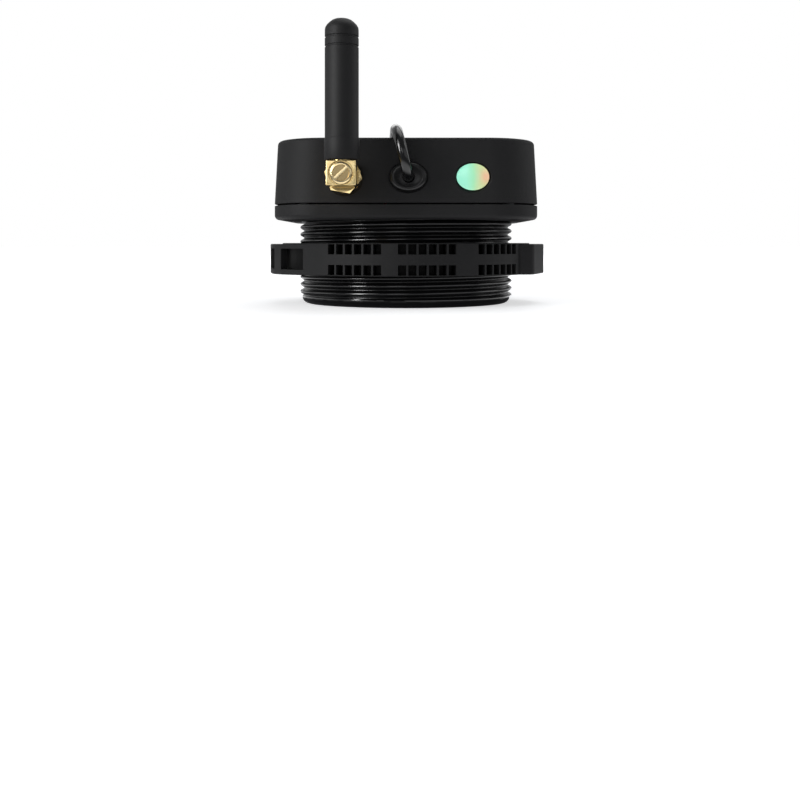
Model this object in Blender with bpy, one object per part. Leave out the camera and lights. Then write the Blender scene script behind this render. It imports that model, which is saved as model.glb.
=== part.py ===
"""Ultrasonic level sensor: a square housing on a threaded neck, a lock nut and a swivelling aerial.

Metres, +Z up, the front looks along -Y. The origin is the centre of the sensing face, which looks down.
"""

import math

import bmesh
import bpy
from mathutils import Matrix, Vector

MM = 0.001

# Clearance between pieces that meet, and how finely round shapes are cut
GAP = 0.3 * MM
ROUND_STEPS = 48
SMALL_STEPS = 18
TINY_STEPS = 10
CORNER_STEPS = 5

# Threaded neck: the housing, the nut and the transducer take their widths from its thread
THREAD_DIAMETER = 60.0 * MM
THREAD_PITCH = 2.0 * MM
THREAD_DEPTH = 1.0 * MM
NECK_LENGTH = 22.8 * MM
NECK_WALL = 4.0 * MM
NECK_BORE = THREAD_DIAMETER - 2 * NECK_WALL
SMOOTH_RIM = 2.2 * MM
SMOOTH_SETBACK = 0.6 * MM
RIM_ROUND = 1.8 * MM
RIM_LIP_HEIGHT = 1.7 * MM

# Housing, which stands out past the neck by its shoulder
NECK_SHOULDER = 4.5 * MM
HOUSING_WIDTH = THREAD_DIAMETER + 2 * NECK_SHOULDER
CORNER_RADIUS = 13.0 * MM
WALL = 2.5 * MM
BASE_HEIGHT = 3.7 * MM
BASE_CHAMFER = 1.2 * MM
BASE_FLOOR = 2.2 * MM
SEAM = 0.4 * MM
COVER_HEIGHT = 16.5 * MM
COVER_DRAFT = math.radians(2.7)
TOP_FILLET = 1.0 * MM

# Seal in the seam
SEAL_WIDTH = 0.8 * MM
SEAL_DEPTH = 0.7 * MM
SEAL_INSET = 0.6 * MM

# Transducer, counted up from the sensing face, which lies inside the rim by FACE_RECESS
FACE_RECESS = 1.0 * MM
ISOLATION_THICKNESS = 3.4 * MM
CUP_DIAMETER = NECK_BORE - 2 * ISOLATION_THICKNESS - 4 * GAP
CUP_WALL = 2.0 * MM
CUP_HEIGHT = 13.0 * MM
MATCHING_THICKNESS = 3.5 * MM
PIEZO_MARGIN = 5.0 * MM
PIEZO_DIAMETER = CUP_DIAMETER - 2 * CUP_WALL - 2 * PIEZO_MARGIN
PIEZO_THICKNESS = 6.0 * MM
SKIRT_WIDTH = 1.6 * MM
SKIRT_CLEARANCE = 0.5 * MM
RIM_LIP_BORE = CUP_DIAMETER + 2 * (GAP + SKIRT_WIDTH + SKIRT_CLEARANCE)
CLAMP_OVERLAP = 1.5 * MM
CLAMP_RING_BORE = CUP_DIAMETER - 2 * CLAMP_OVERLAP
CLAMP_RING_HEIGHT = 4.0 * MM
LEAD_DIAMETER = 1.0 * MM
LEAD_SPREAD = 3.0 * MM
LEAD_RISE = 5.0 * MM

# Lock nut
NUT_BASE_FROM_RIM = 8.3 * MM
NUT_HEIGHT = 8.5 * MM
NUT_RING = 5.0 * MM
NUT_DIAMETER = THREAD_DIAMETER + 2 * NUT_RING
NUT_BORE_CLEARANCE = 0.35 * MM
NUT_TURN = math.radians(10.2)
RIB_GROUP_ANGLES = (math.radians(-32.8), math.radians(-1.2), math.radians(34.1))
SLOTS_PER_GROUP = 6
SLOT_PITCH = math.radians(4.25)
SLOT_ANGLE = math.radians(3.4)
SLOT_DEPTH = 1.7 * MM
SLOT_HEIGHT = 2.6 * MM
SLOT_LIP = 0.3 * MM

# The nut's ears, by how far they stand out past its ring, with a pocket between two plates and a post in it
EAR_STAND = 3.35 * MM
EAR_HEEL_STAND = 4.1 * MM
EAR_CORNER_STAND = 3.2 * MM
EAR_FLANK_STAND = 1.5 * MM
EAR_PLATE = 1.4 * MM
EAR_TOP_PLATE = 1.5 * MM
EAR_POCKET_DEPTH = 2.4 * MM
EAR_POCKET_CLEAR = 2.3 * MM
POST_END_STAND = 3.1 * MM
POST_SIDE_STAND = 2.5 * MM
POST_THICKNESS = 2.0 * MM

# Places on the front wall: the aerial, the cable and the light share one height above the seam
FEATURE_HEIGHT = 6.5 * MM
AERIAL_INSET = 19.1 * MM
AERIAL_X = AERIAL_INSET - HOUSING_WIDTH / 2
CABLE_X = 0.6 * MM
LIGHT_INSET = 17.7 * MM
LIGHT_X = HOUSING_WIDTH / 2 - LIGHT_INSET
SPOT_DEPTH = 0.4 * MM

# Aerial jack and coupling
JACK_THREAD = 6.35 * MM
JACK_FLANGE = 8.4 * MM
JACK_FLANGE_THICKNESS = 0.9 * MM
JACK_REACH = 3.9 * MM
JACK_TAIL = 8.5 * MM
JACK_SOCKET = 4.7 * MM
JACK_SOCKET_DEPTH = 2.6 * MM
JACK_NUT_FLATS = 8.0 * MM
JACK_NUT_THICKNESS = 2.0 * MM
WASHER_DIAMETER = 10.4 * MM
WASHER_THICKNESS = 0.5 * MM
COUPLING_FLATS = 8.2 * MM
COUPLING_LENGTH = 5.0 * MM
COUPLING_LIP = 0.8 * MM
COUPLING_TURN = math.radians(-10.0)
FERRULE_DIAMETER = 4.9 * MM
FERRULE_FLANGE = 6.2 * MM
FERRULE_BORE = 3.0 * MM
PIN_DIAMETER = 1.0 * MM
COAX_DIAMETER = 1.8 * MM
COAX_START = 2.0 * MM
COAX_RISE = 2.2 * MM
COAX_DROP = 3.0 * MM
COAX_REACH = 5.0 * MM

# Aerial
ELBOW_WIDTH = 7.1 * MM
ELBOW_DEPTH = 8.1 * MM
ELBOW_HEIGHT = 5.9 * MM
CAP_DIAMETER = 5.4 * MM
CAP_DEPTH = 0.7 * MM
CAP_RIM_WIDTH = 0.75 * MM
CAP_RIM_SLOPE = 0.1 * MM
CAP_RECESS = 0.2 * MM
CAP_BAR_WIDTH = 0.7 * MM
CAP_BAR_HEIGHT = 0.55 * MM
CAP_BAR_SETBACK = 0.04 * MM
CAP_BAR_TURN = math.radians(43.0)
SPIGOT_DIAMETER = 5.2 * MM
SPIGOT_HEIGHT = 3.4 * MM
SLEEVE_DIAMETER = 8.15 * MM
SLEEVE_FOOT_DIAMETER = 8.55 * MM
SLEEVE_FOOT_HEIGHT = 5.2 * MM
SLEEVE_LENGTH = 33.9 * MM
SLEEVE_TOP_WALL = 3.4 * MM
DOME_HEIGHT = 3.0 * MM
RING_GROOVES = (4.5 * MM, 6.7 * MM)
RING_GROOVE_DEPTH = 0.25 * MM
RING_GROOVE_WIDTH = 0.5 * MM
CORE_DIAMETER = 2.2 * MM
COIL_WIRE = 0.7 * MM
COIL_DIAMETER = 4.0 * MM
COIL_PITCH = 3.2 * MM

# Cable grommet and status light: both are wider than tall
GROMMET_HEIGHT = 7.3 * MM
GROMMET_WIDTH = 9.3 * MM
GROMMET_NECK_INSET = 0.85 * MM
GROMMET_STAND = 1.4 * MM
GROMMET_ROUND = 0.8 * MM
GROMMET_FLANGE = 1.1 * MM
LENS_HEIGHT = 6.8 * MM
LENS_WIDTH = 8.3 * MM
LENS_CROWN = 0.5 * MM
LENS_FLANGE = 0.9 * MM

# Circuit board and its fixing: the board keeps a margin to the housing's sides, its posts one to the board's
BOARD_MARGIN = 9.5 * MM
BOARD_WIDTH = HOUSING_WIDTH - 2 * BOARD_MARGIN
BOARD_THICKNESS = 1.6 * MM
BOARD_LIFT = 4.0 * MM
POST_INSET = 3.5 * MM
POST_PLACE = BOARD_WIDTH / 2 - POST_INSET
POST_DIAMETER = 4.4 * MM
BOARD_SCREW = 1.7 * MM
BOARD_SCREW_HEAD = 3.8 * MM
BOARD_SCREW_HEAD_HEIGHT = 1.3 * MM
BOARD_SCREW_LENGTH = 4.6 * MM

# Cover screws, driven up from below
SCREW_INSET = 8.0 * MM
SCREW_PLACE = HOUSING_WIDTH / 2 - SCREW_INSET
SCREW_DIAMETER = 2.9 * MM
SCREW_LENGTH = 12.0 * MM
SCREW_HEAD = 5.2 * MM
SCREW_HEAD_HEIGHT = 1.4 * MM
SCREW_RECESS = 2.0 * MM
SCREW_BOSS = 6.6 * MM
DRIVE_WIDTH = 0.6 * MM
DRIVE_LENGTH = 2.8 * MM
DRIVE_DEPTH = 0.8 * MM

# Parts on the board, as width, depth and height, and their places from the board's edges
RADIO_SIZE = (12.0 * MM, 16.0 * MM, 2.6 * MM)
RADIO_INSET = 12.0 * MM
RADIO_PLACE = (RADIO_INSET - BOARD_WIDTH / 2, -5.0 * MM)
PROCESSOR_SIZE = (7.0 * MM, 7.0 * MM, 1.1 * MM)
PROCESSOR_PLACE = (12.0 * MM, 6.0 * MM)
TRANSFORMER_SIZE = (10.0 * MM, 9.0 * MM, 6.4 * MM)
TRANSFORMER_INSET = 12.0 * MM
TRANSFORMER_PLACE = (-4.0 * MM, BOARD_WIDTH / 2 - TRANSFORMER_INSET)
TERMINAL_SIZE = (9.0 * MM, 7.0 * MM, 6.0 * MM)
TERMINAL_INSET = 11.0 * MM
TERMINAL_PLACE = (3.2 * MM, TERMINAL_INSET - BOARD_WIDTH / 2)
TERMINAL_PITCH = 2.05 * MM
TERMINAL_HOLE = 1.6 * MM
TERMINAL_HOLE_DEPTH = 2.5 * MM
LED_SIZE = (4.6 * MM, 4.0 * MM, 5.0 * MM)
LED_DIAMETER = 3.2 * MM
LED_REACH = 2.6 * MM
LED_CLEARANCE = 2.7 * MM

# Cord
CORD_DIAMETER = 2.8 * MM
COIL_MEAN_DIAMETER = 33.6 * MM
COIL_ROWS = 3
COIL_LIFT = 0.9 * MM
COIL_PLACE = Vector((0.0, 70.0, 0.0)) * MM
TIE_WIDTH = 2.6 * MM
TIE_THICKNESS = 0.6 * MM
TIE_ANGLES = (math.radians(75.0), math.radians(255.0))
CORE_WIRE_DIAMETER = 0.9 * MM

# Heights that follow from the sizes above
RIM_Z = -FACE_RECESS
UNDERSIDE_Z = RIM_Z + NECK_LENGTH
BASE_TOP_Z = UNDERSIDE_Z + BASE_HEIGHT
FLOOR_Z = UNDERSIDE_Z + BASE_FLOOR
COVER_Z = BASE_TOP_Z + SEAM
TOP_Z = COVER_Z + COVER_HEIGHT
FEATURE_Z = COVER_Z + FEATURE_HEIGHT
NUT_Z = RIM_Z + NUT_BASE_FROM_RIM
BOARD_Z = FLOOR_Z + BOARD_LIFT
BOARD_TOP_Z = BOARD_Z + BOARD_THICKNESS

# Radii and reaches that follow from the sizes above
HOUSING_HALF = HOUSING_WIDTH / 2
THREAD_RADIUS = THREAD_DIAMETER / 2
CORD_RADIUS = CORD_DIAMETER / 2
COUPLING_BORE_RADIUS = JACK_THREAD / 2 + GAP
COUPLING_BACK = JACK_FLANGE_THICKNESS + GAP
COUPLING_FRONT = COUPLING_BACK + COUPLING_LENGTH
ELBOW_BACK = COUPLING_FRONT + GAP
ELBOW_FRONT = ELBOW_BACK + ELBOW_DEPTH
AERIAL_REACH = COUPLING_FRONT + GAP + SLEEVE_FOOT_DIAMETER / 2


def cover_half(z):
    """Half the cover's width at a height: its walls lean in by the draft."""
    return HOUSING_HALF - (z - COVER_Z) * math.tan(COVER_DRAFT)


FACE_Y = -cover_half(FEATURE_Z)


def wall_slack(radius):
    """How far the leaning wall strays from a flat seat of this radius."""
    return radius * math.tan(COVER_DRAFT)


def clear_scene():
    for thing in list(bpy.data.objects):
        bpy.data.objects.remove(thing, do_unlink=True)


def finish_material(name, colour, roughness, metallic=0.0):
    """One Principled finish, made once and shared by the pieces that have it."""
    material = bpy.data.materials.get(name)
    if material is None:
        material = bpy.data.materials.new(name)
        material.use_nodes = True
        shader = material.node_tree.nodes["Principled BSDF"]
        shader.inputs["Base Color"].default_value = (*colour, 1.0)
        shader.inputs["Roughness"].default_value = roughness
        shader.inputs["Metallic"].default_value = metallic
    return material


def housing_black():
    return finish_material("housing_black", (0.021, 0.021, 0.022), 0.55)


def nut_black():
    return finish_material("nut_black", (0.024, 0.024, 0.026), 0.5)


def aerial_black():
    return finish_material("aerial_black", (0.02, 0.02, 0.021), 0.45)


def brass():
    return finish_material("brass", (0.78, 0.57, 0.24), 0.25, 1.0)


def steel():
    return finish_material("steel", (0.55, 0.55, 0.56), 0.3, 1.0)


def rubber():
    return finish_material("rubber", (0.015, 0.015, 0.016), 0.7)


def white_plastic():
    return finish_material("white_plastic", (0.75, 0.74, 0.7), 0.5)


def add_object(name, mesh, material, parent=None):
    thing = bpy.data.objects.new(name, mesh)
    bpy.context.scene.collection.objects.link(thing)
    if material:
        mesh.materials.append(material)
    thing.parent = parent
    return thing


def mesh_from(name, bm):
    bmesh.ops.remove_doubles(bm, verts=bm.verts, dist=1e-6)
    bmesh.ops.recalc_face_normals(bm, faces=bm.faces)
    mesh = bpy.data.meshes.new(name)
    bm.to_mesh(mesh)
    bm.free()
    mesh.shade_smooth()
    mesh.set_sharp_from_angle(angle=math.radians(32.0))
    return mesh


def turned(name, profile, material, steps=ROUND_STEPS, stretch=1.0, parent=None):
    """A closed profile of (radius, height) points, spun about Z. Stretch widens it along X."""
    bm = bmesh.new()
    points = [bm.verts.new((radius, 0.0, height)) for radius, height in profile]
    edges = [bm.edges.new((a, b)) for a, b in zip(points, points[1:] + points[:1])]
    bmesh.ops.spin(
        bm, geom=points + edges, cent=(0, 0, 0), axis=(0, 0, 1),
        angle=math.tau, steps=steps, use_merge=True,
    )
    bmesh.ops.remove_doubles(bm, verts=bm.verts, dist=1e-6)
    on_axis = [edge for edge in bm.edges if all(v.co.xy.length < 1e-7 for v in edge.verts)]
    bmesh.ops.delete(bm, geom=on_axis, context="EDGES")
    bmesh.ops.scale(bm, vec=(stretch, 1.0, 1.0), verts=bm.verts)
    return add_object(name, mesh_from(name, bm), material, parent)


def lofted(name, outlines, material, parent=None):
    """Stacked outlines with as many points each, bridged and capped at both ends."""
    bm = bmesh.new()
    rings = []
    for outline in outlines:
        points = [bm.verts.new(point) for point in outline]
        rings.append([bm.edges.new((a, b)) for a, b in zip(points, points[1:] + points[:1])])
        if len(rings) in (1, len(outlines)):
            bm.faces.new(points)
    for lower, upper in zip(rings, rings[1:]):
        bmesh.ops.bridge_loops(bm, edges=lower + upper)
    return add_object(name, mesh_from(name, bm), material, parent)


def rounded_square(half, radius, z):
    """A square outline with round corners, anticlockwise from the +X side."""
    points = []
    centre = half - radius
    for corner in range(4):
        for step in range(CORNER_STEPS + 1):
            angle = math.pi / 2 * (corner + step / CORNER_STEPS)
            sign_x = 1 if corner in (0, 3) else -1
            sign_y = 1 if corner in (0, 1) else -1
            points.append((
                sign_x * centre + radius * math.cos(angle),
                sign_y * centre + radius * math.sin(angle),
                z,
            ))
    return points


def extruded(name, outline, low, high, material, parent=None):
    """A flat outline of (x, y) points, raised from one height to another."""
    rings = [[(x, y, z) for x, y in outline] for z in (low, high)]
    return lofted(name, rings, material, parent)


def block(name, size, centre, material, parent=None):
    bm = bmesh.new()
    bmesh.ops.create_cube(bm, size=1.0)
    bmesh.ops.scale(bm, vec=size, verts=bm.verts)
    bmesh.ops.translate(bm, vec=centre, verts=bm.verts)
    return add_object(name, mesh_from(name, bm), material, parent)


def disc_profile(radius, low, high, bore=0.0):
    return [(bore, low), (radius, low), (radius, high), (bore, high)]


def hexagon(flats, turn=0.0):
    radius = flats / math.sqrt(3.0)
    angles = [turn + math.tau * step / 6 for step in range(6)]
    return [(radius * math.cos(angle), radius * math.sin(angle)) for angle in angles]


def as_helper(thing):
    thing.hide_render = True
    thing.display_type = "WIRE"
    return thing


def combine(thing, helper, operation):
    """A Boolean that stays on its object. Its helper is left out of the model."""
    as_helper(helper)
    modifier = thing.modifiers.new(f"{operation} {helper.name}".lower(), "BOOLEAN")
    modifier.operation = operation
    modifier.solver = "EXACT"
    modifier.object = helper


def cut(thing, *helpers):
    for helper in helpers:
        combine(thing, helper, "DIFFERENCE")


def join(thing, *helpers):
    for helper in helpers:
        combine(thing, helper, "UNION")


def smooth_route(points, count):
    """Evenly spaced points on a smooth curve through the route's own points."""
    route = [Vector(point) for point in points]
    ends = [route[0] * 2 - route[1]] + route + [route[-1] * 2 - route[-2]]
    fine = []
    for before, start, stop, after in zip(ends, ends[1:], ends[2:], ends[3:]):
        for step in range(24):
            t = step / 24
            fine.append(0.5 * (
                2 * start + (stop - before) * t
                + (2 * before - 5 * start + 4 * stop - after) * t ** 2
                + (3 * start - before - 3 * stop + after) * t ** 3
            ))
    fine.append(route[-1])
    reach = [0.0]
    for a, b in zip(fine, fine[1:]):
        reach.append(reach[-1] + (b - a).length)
    placed = []
    index = 0
    for step in range(count):
        target = reach[-1] * step / (count - 1)
        while index < len(reach) - 2 and reach[index + 1] < target:
            index += 1
        share = (target - reach[index]) / (reach[index + 1] - reach[index])
        placed.append(fine[index].lerp(fine[index + 1], share))
    return placed


def tube(name, points, diameter, material, resolution=2, parent=None):
    curve = bpy.data.curves.new(name, "CURVE")
    curve.dimensions = "3D"
    curve.bevel_depth = diameter / 2
    curve.bevel_resolution = resolution
    curve.use_fill_caps = True
    spline = curve.splines.new("POLY")
    spline.points.add(len(points) - 1)
    for point, place in zip(spline.points, points):
        point.co = (*place, 1.0)
    curve.materials.append(material)
    thing = bpy.data.objects.new(name, curve)
    bpy.context.scene.collection.objects.link(thing)
    thing.parent = parent
    return thing


def corners(place):
    """The four places at the same distance from both centre planes."""
    return [(sx * place, sy * place) for sx, sy in ((1, 1), (-1, 1), (-1, -1), (1, -1))]


def face_frame(name, x):
    """An empty on the front wall: its Z points out of the wall, its Y points up."""
    frame = bpy.data.objects.new(name, None)
    bpy.context.scene.collection.objects.link(frame)
    frame.location = (x, FACE_Y, FEATURE_Z)
    frame.rotation_euler = (math.pi / 2, 0.0, 0.0)
    return frame


def thread_profile():
    """The neck's outer side, from the rim up: a round edge, a smooth band, then the thread's ridges."""
    smooth = THREAD_RADIUS - SMOOTH_SETBACK
    root = THREAD_RADIUS - THREAD_DEPTH
    profile = []
    for step in range(5):
        angle = math.pi / 2 * step / 4
        profile.append((
            smooth - RIM_ROUND * (1 - math.sin(angle)),
            RIM_Z + RIM_ROUND * (1 - math.cos(angle)),
        ))
    profile.append((smooth, RIM_Z + SMOOTH_RIM))
    ridges = int((NECK_LENGTH - SMOOTH_RIM - THREAD_PITCH / 2) / THREAD_PITCH)
    for ridge in range(ridges):
        low = RIM_Z + SMOOTH_RIM + THREAD_PITCH * (ridge + 0.1)
        profile.append((root, low))
        profile.append((THREAD_RADIUS, low + THREAD_PITCH / 2))
    profile.append((root, low + THREAD_PITCH))
    return profile


def make_base_housing():
    """The lower shell and the threaded neck, moulded as one piece."""
    inner = CORNER_RADIUS - WALL
    outer_rings = [
        rounded_square(HOUSING_HALF - BASE_CHAMFER, CORNER_RADIUS - BASE_CHAMFER, UNDERSIDE_Z),
        rounded_square(HOUSING_HALF, CORNER_RADIUS, UNDERSIDE_Z + BASE_CHAMFER),
        rounded_square(HOUSING_HALF, CORNER_RADIUS, BASE_TOP_Z),
    ]
    base = lofted("base_housing", outer_rings, housing_black())
    well = lofted("base_well", [
        rounded_square(HOUSING_HALF - WALL, inner, z) for z in (FLOOR_Z, BASE_TOP_Z + WALL)
    ], None)
    pads = [
        turned(f"screw_pad_{index}", disc_profile(SCREW_BOSS / 2, FLOOR_Z - WALL / 2, BASE_TOP_Z + 2 * WALL),
               None, TINY_STEPS)
        for index, _ in enumerate(corners(SCREW_PLACE), 1)
    ]
    for pad, (x, y) in zip(pads, corners(SCREW_PLACE)):
        pad.location = (x, y, 0.0)
    cut(well, *pads)
    cut(base, well)

    outside = thread_profile()
    top = (THREAD_RADIUS - THREAD_DEPTH, FLOOR_Z - BASE_FLOOR / 2)
    neck = turned("neck_solid", [(0.0, RIM_Z), *outside, top, (0.0, top[1])], None)
    join(base, neck)
    bore = turned("neck_bore", [
        (0.0, RIM_Z - WALL), (RIM_LIP_BORE / 2, RIM_Z - WALL),
        (RIM_LIP_BORE / 2, RIM_Z + RIM_LIP_HEIGHT), (NECK_BORE / 2, RIM_Z + RIM_LIP_HEIGHT),
        (NECK_BORE / 2, BASE_TOP_Z + WALL), (0.0, BASE_TOP_Z + WALL),
    ], None)
    cut(base, bore)

    for index, (x, y) in enumerate(corners(POST_PLACE), 1):
        post = turned(f"board_post_{index}",
                      disc_profile(POST_DIAMETER / 2, FLOOR_Z - BASE_FLOOR / 2, BOARD_Z - GAP),
                      None, TINY_STEPS)
        post.location = (x, y, 0.0)
        pilot = turned(f"post_pilot_{index}", disc_profile(BOARD_SCREW / 2 + GAP, FLOOR_Z, BOARD_Z + WALL),
                       None, TINY_STEPS)
        pilot.location = (x, y, 0.0)
        join(base, post)
        cut(base, pilot)
    head = SCREW_HEAD / 2 + GAP
    shank = SCREW_DIAMETER / 2 + GAP
    for index, (x, y) in enumerate(corners(SCREW_PLACE), 1):
        hole = turned(f"screw_hole_{index}", [
            (0.0, UNDERSIDE_Z - WALL), (head, UNDERSIDE_Z - WALL), (head, UNDERSIDE_Z + SCREW_RECESS),
            (shank, UNDERSIDE_Z + SCREW_RECESS), (shank, BASE_TOP_Z + WALL), (0.0, BASE_TOP_Z + WALL),
        ], None, TINY_STEPS)
        hole.location = (x, y, 0.0)
        cut(base, hole)

    groove_low = BASE_TOP_Z - SEAL_DEPTH - GAP + SEAM / 2
    groove = lofted("seal_groove", [
        rounded_square(HOUSING_HALF - SEAL_INSET, CORNER_RADIUS - SEAL_INSET, z)
        for z in (groove_low, BASE_TOP_Z + WALL)
    ], None)
    inset = SEAL_INSET + SEAL_WIDTH + 2 * GAP
    groove_core = lofted("seal_groove_core", [
        rounded_square(HOUSING_HALF - inset, CORNER_RADIUS - inset, z)
        for z in (groove_low - WALL, BASE_TOP_Z + 2 * WALL)
    ], None)
    cut(groove, groove_core)
    cut(base, groove)
    return base


def make_cover_seal():
    """The square cord gasket in the base's groove."""
    low = BASE_TOP_Z - SEAL_DEPTH + SEAM / 2
    high = COVER_Z - GAP
    outside = SEAL_INSET + GAP
    inside = outside + SEAL_WIDTH
    seal = lofted("cover_seal", [
        rounded_square(HOUSING_HALF - outside, CORNER_RADIUS - outside, z) for z in (low, high)
    ], rubber())
    middle = lofted("seal_middle", [
        rounded_square(HOUSING_HALF - inside, CORNER_RADIUS - inside, z) for z in (low - WALL, high + WALL)
    ], None)
    cut(seal, middle)


def make_upper_cover(frames):
    """The top shell, with screw pillars inside and three openings in its front wall."""
    rings = [rounded_square(cover_half(COVER_Z), CORNER_RADIUS, COVER_Z)]
    for step in range(4):
        angle = math.pi / 2 * step / 3
        z = TOP_Z - TOP_FILLET * (1 - math.sin(angle))
        inset = HOUSING_HALF - cover_half(z) + TOP_FILLET * (1 - math.cos(angle))
        rings.append(rounded_square(HOUSING_HALF - inset, CORNER_RADIUS - inset, z))
    cover = lofted("upper_cover", rings, housing_black())

    ceiling = TOP_Z - WALL
    hollow = lofted("cover_hollow", [
        rounded_square(cover_half(z) - WALL, CORNER_RADIUS - WALL - (HOUSING_HALF - cover_half(z)), z)
        for z in (COVER_Z - WALL, ceiling)
    ], None)
    for index, (x, y) in enumerate(corners(SCREW_PLACE), 1):
        pillar = turned(f"screw_pillar_{index}", disc_profile(SCREW_BOSS / 2, COVER_Z - 2 * WALL, TOP_Z),
                        None, TINY_STEPS)
        pillar.location = (x, y, 0.0)
        cut(hollow, pillar)
    cut(cover, hollow)
    for index, (x, y) in enumerate(corners(SCREW_PLACE), 1):
        depth = UNDERSIDE_Z + SCREW_RECESS + SCREW_LENGTH + 2 * GAP
        pilot = turned(f"cover_pilot_{index}", disc_profile(SCREW_DIAMETER / 2 + GAP, COVER_Z - WALL, depth),
                       None, TINY_STEPS)
        pilot.location = (x, y, 0.0)
        cut(cover, pilot)

    through = -2 * WALL
    spot = -SPOT_DEPTH
    cut(cover, turned("jack_hole", [
        (0.0, through), (JACK_THREAD / 2 + GAP, through), (JACK_THREAD / 2 + GAP, spot),
        (JACK_FLANGE / 2 + GAP, spot), (JACK_FLANGE / 2 + GAP, WALL), (0.0, WALL),
    ], None, SMALL_STEPS, parent=frames["aerial"]))
    neck = GROMMET_HEIGHT / 2 - GROMMET_NECK_INSET
    rim = GROMMET_HEIGHT / 2 + GAP
    cut(cover, turned("grommet_hole", [
        (0.0, through), (neck, through), (neck, spot), (rim, spot), (rim, WALL), (0.0, WALL),
    ], None, SMALL_STEPS, GROMMET_WIDTH / GROMMET_HEIGHT, frames["cable"]))
    cut(cover, turned("lens_hole", disc_profile(LENS_HEIGHT / 2 + GAP, through, WALL),
                      None, SMALL_STEPS, LENS_WIDTH / LENS_HEIGHT, frames["light"]))
    return cover


def make_cover_screws():
    """Pan-head screws with a cross drive, in recesses under the corners."""
    for index, (x, y) in enumerate(corners(SCREW_PLACE), 1):
        seat = SCREW_RECESS - GAP
        screw = turned(f"cover_screw_{index}", [
            (0.0, seat - SCREW_HEAD_HEIGHT), (SCREW_HEAD / 2 - GAP, seat - SCREW_HEAD_HEIGHT),
            (SCREW_HEAD / 2, seat - SCREW_HEAD_HEIGHT + GAP), (SCREW_HEAD / 2, seat),
            (SCREW_DIAMETER / 2, seat), (SCREW_DIAMETER / 2, seat + SCREW_LENGTH - SCREW_DIAMETER / 2),
            (0.0, seat + SCREW_LENGTH),
        ], steel(), TINY_STEPS)
        screw.location = (x, y, UNDERSIDE_Z)
        low = seat - SCREW_HEAD_HEIGHT + DRIVE_DEPTH / 2
        for name, size in (
            ("across", (DRIVE_LENGTH, DRIVE_WIDTH, DRIVE_DEPTH)),
            ("along", (DRIVE_WIDTH, DRIVE_LENGTH, DRIVE_DEPTH)),
        ):
            cut(screw, block(f"drive_{name}_{index}", size, (0.0, 0.0, low - DRIVE_DEPTH / 4), None, screw))


def make_transducer():
    """The acoustic parts, stacked up from the sensing face and clamped in the neck's bore."""
    cup_radius = CUP_DIAMETER / 2
    cup_inside = cup_radius - CUP_WALL
    turned("transducer_cup", disc_profile(cup_radius, 0.0, CUP_HEIGHT, cup_inside),
           finish_material("anodised_grey", (0.32, 0.33, 0.34), 0.35, 1.0))
    plate = cup_inside - GAP
    turned("matching_layer", disc_profile(plate, 0.0, MATCHING_THICKNESS),
           finish_material("syntactic_foam", (0.62, 0.6, 0.53), 0.75))
    piezo_low = MATCHING_THICKNESS + GAP
    piezo_high = piezo_low + PIEZO_THICKNESS
    turned("piezo_disc", disc_profile(PIEZO_DIAMETER / 2, piezo_low, piezo_high),
           finish_material("silvered_ceramic", (0.7, 0.69, 0.66), 0.35, 0.8))
    foam = turned("backing_foam", [
        (0.0, piezo_high + GAP), (PIEZO_DIAMETER / 2 + GAP, piezo_high + GAP),
        (PIEZO_DIAMETER / 2 + GAP, piezo_low), (plate, piezo_low), (plate, CUP_HEIGHT), (0.0, CUP_HEIGHT),
    ], finish_material("grey_foam", (0.12, 0.12, 0.13), 0.9))
    turned("isolation_ring", [
        (cup_radius + GAP, 0.0), (cup_radius + GAP + SKIRT_WIDTH, 0.0),
        (cup_radius + GAP + SKIRT_WIDTH, RIM_Z + RIM_LIP_HEIGHT + GAP),
        (NECK_BORE / 2 - GAP, RIM_Z + RIM_LIP_HEIGHT + GAP), (NECK_BORE / 2 - GAP, CUP_HEIGHT),
        (cup_radius + GAP, CUP_HEIGHT),
    ], rubber())
    clamp_low = CUP_HEIGHT + GAP
    turned("clamp_ring", disc_profile(NECK_BORE / 2 - GAP, clamp_low, clamp_low + CLAMP_RING_HEIGHT,
                                      CLAMP_RING_BORE / 2), nut_black())
    for side, name, colour in ((-1, "red", (0.45, 0.02, 0.015)), (1, "black", (0.012, 0.012, 0.013))):
        x = side * LEAD_SPREAD
        hole = turned(f"lead_hole_{name}",
                      disc_profile(LEAD_DIAMETER / 2 + GAP, piezo_high - GAP, CUP_HEIGHT + GAP),
                      None, TINY_STEPS)
        hole.location = (x, 0.0, 0.0)
        cut(foam, hole)
        top = BOARD_Z - GAP
        route = [
            (x, 0.0, piezo_high + GAP), (x, 0.0, CUP_HEIGHT),
            (1.6 * x, LEAD_SPREAD / 2, CUP_HEIGHT + LEAD_RISE),
            (2.0 * x, LEAD_SPREAD, top - LEAD_RISE), (2.0 * x, LEAD_SPREAD, top),
        ]
        tube(f"transducer_lead_{name}", smooth_route(route, 14), LEAD_DIAMETER,
             finish_material(f"insulation_{name}", colour, 0.45), 1)


def board_part(name, size, place, material):
    """A part soldered on the board's upper side."""
    low = BOARD_TOP_Z + GAP
    return block(name, size, (*place, low + size[2] / 2), material)


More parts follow.
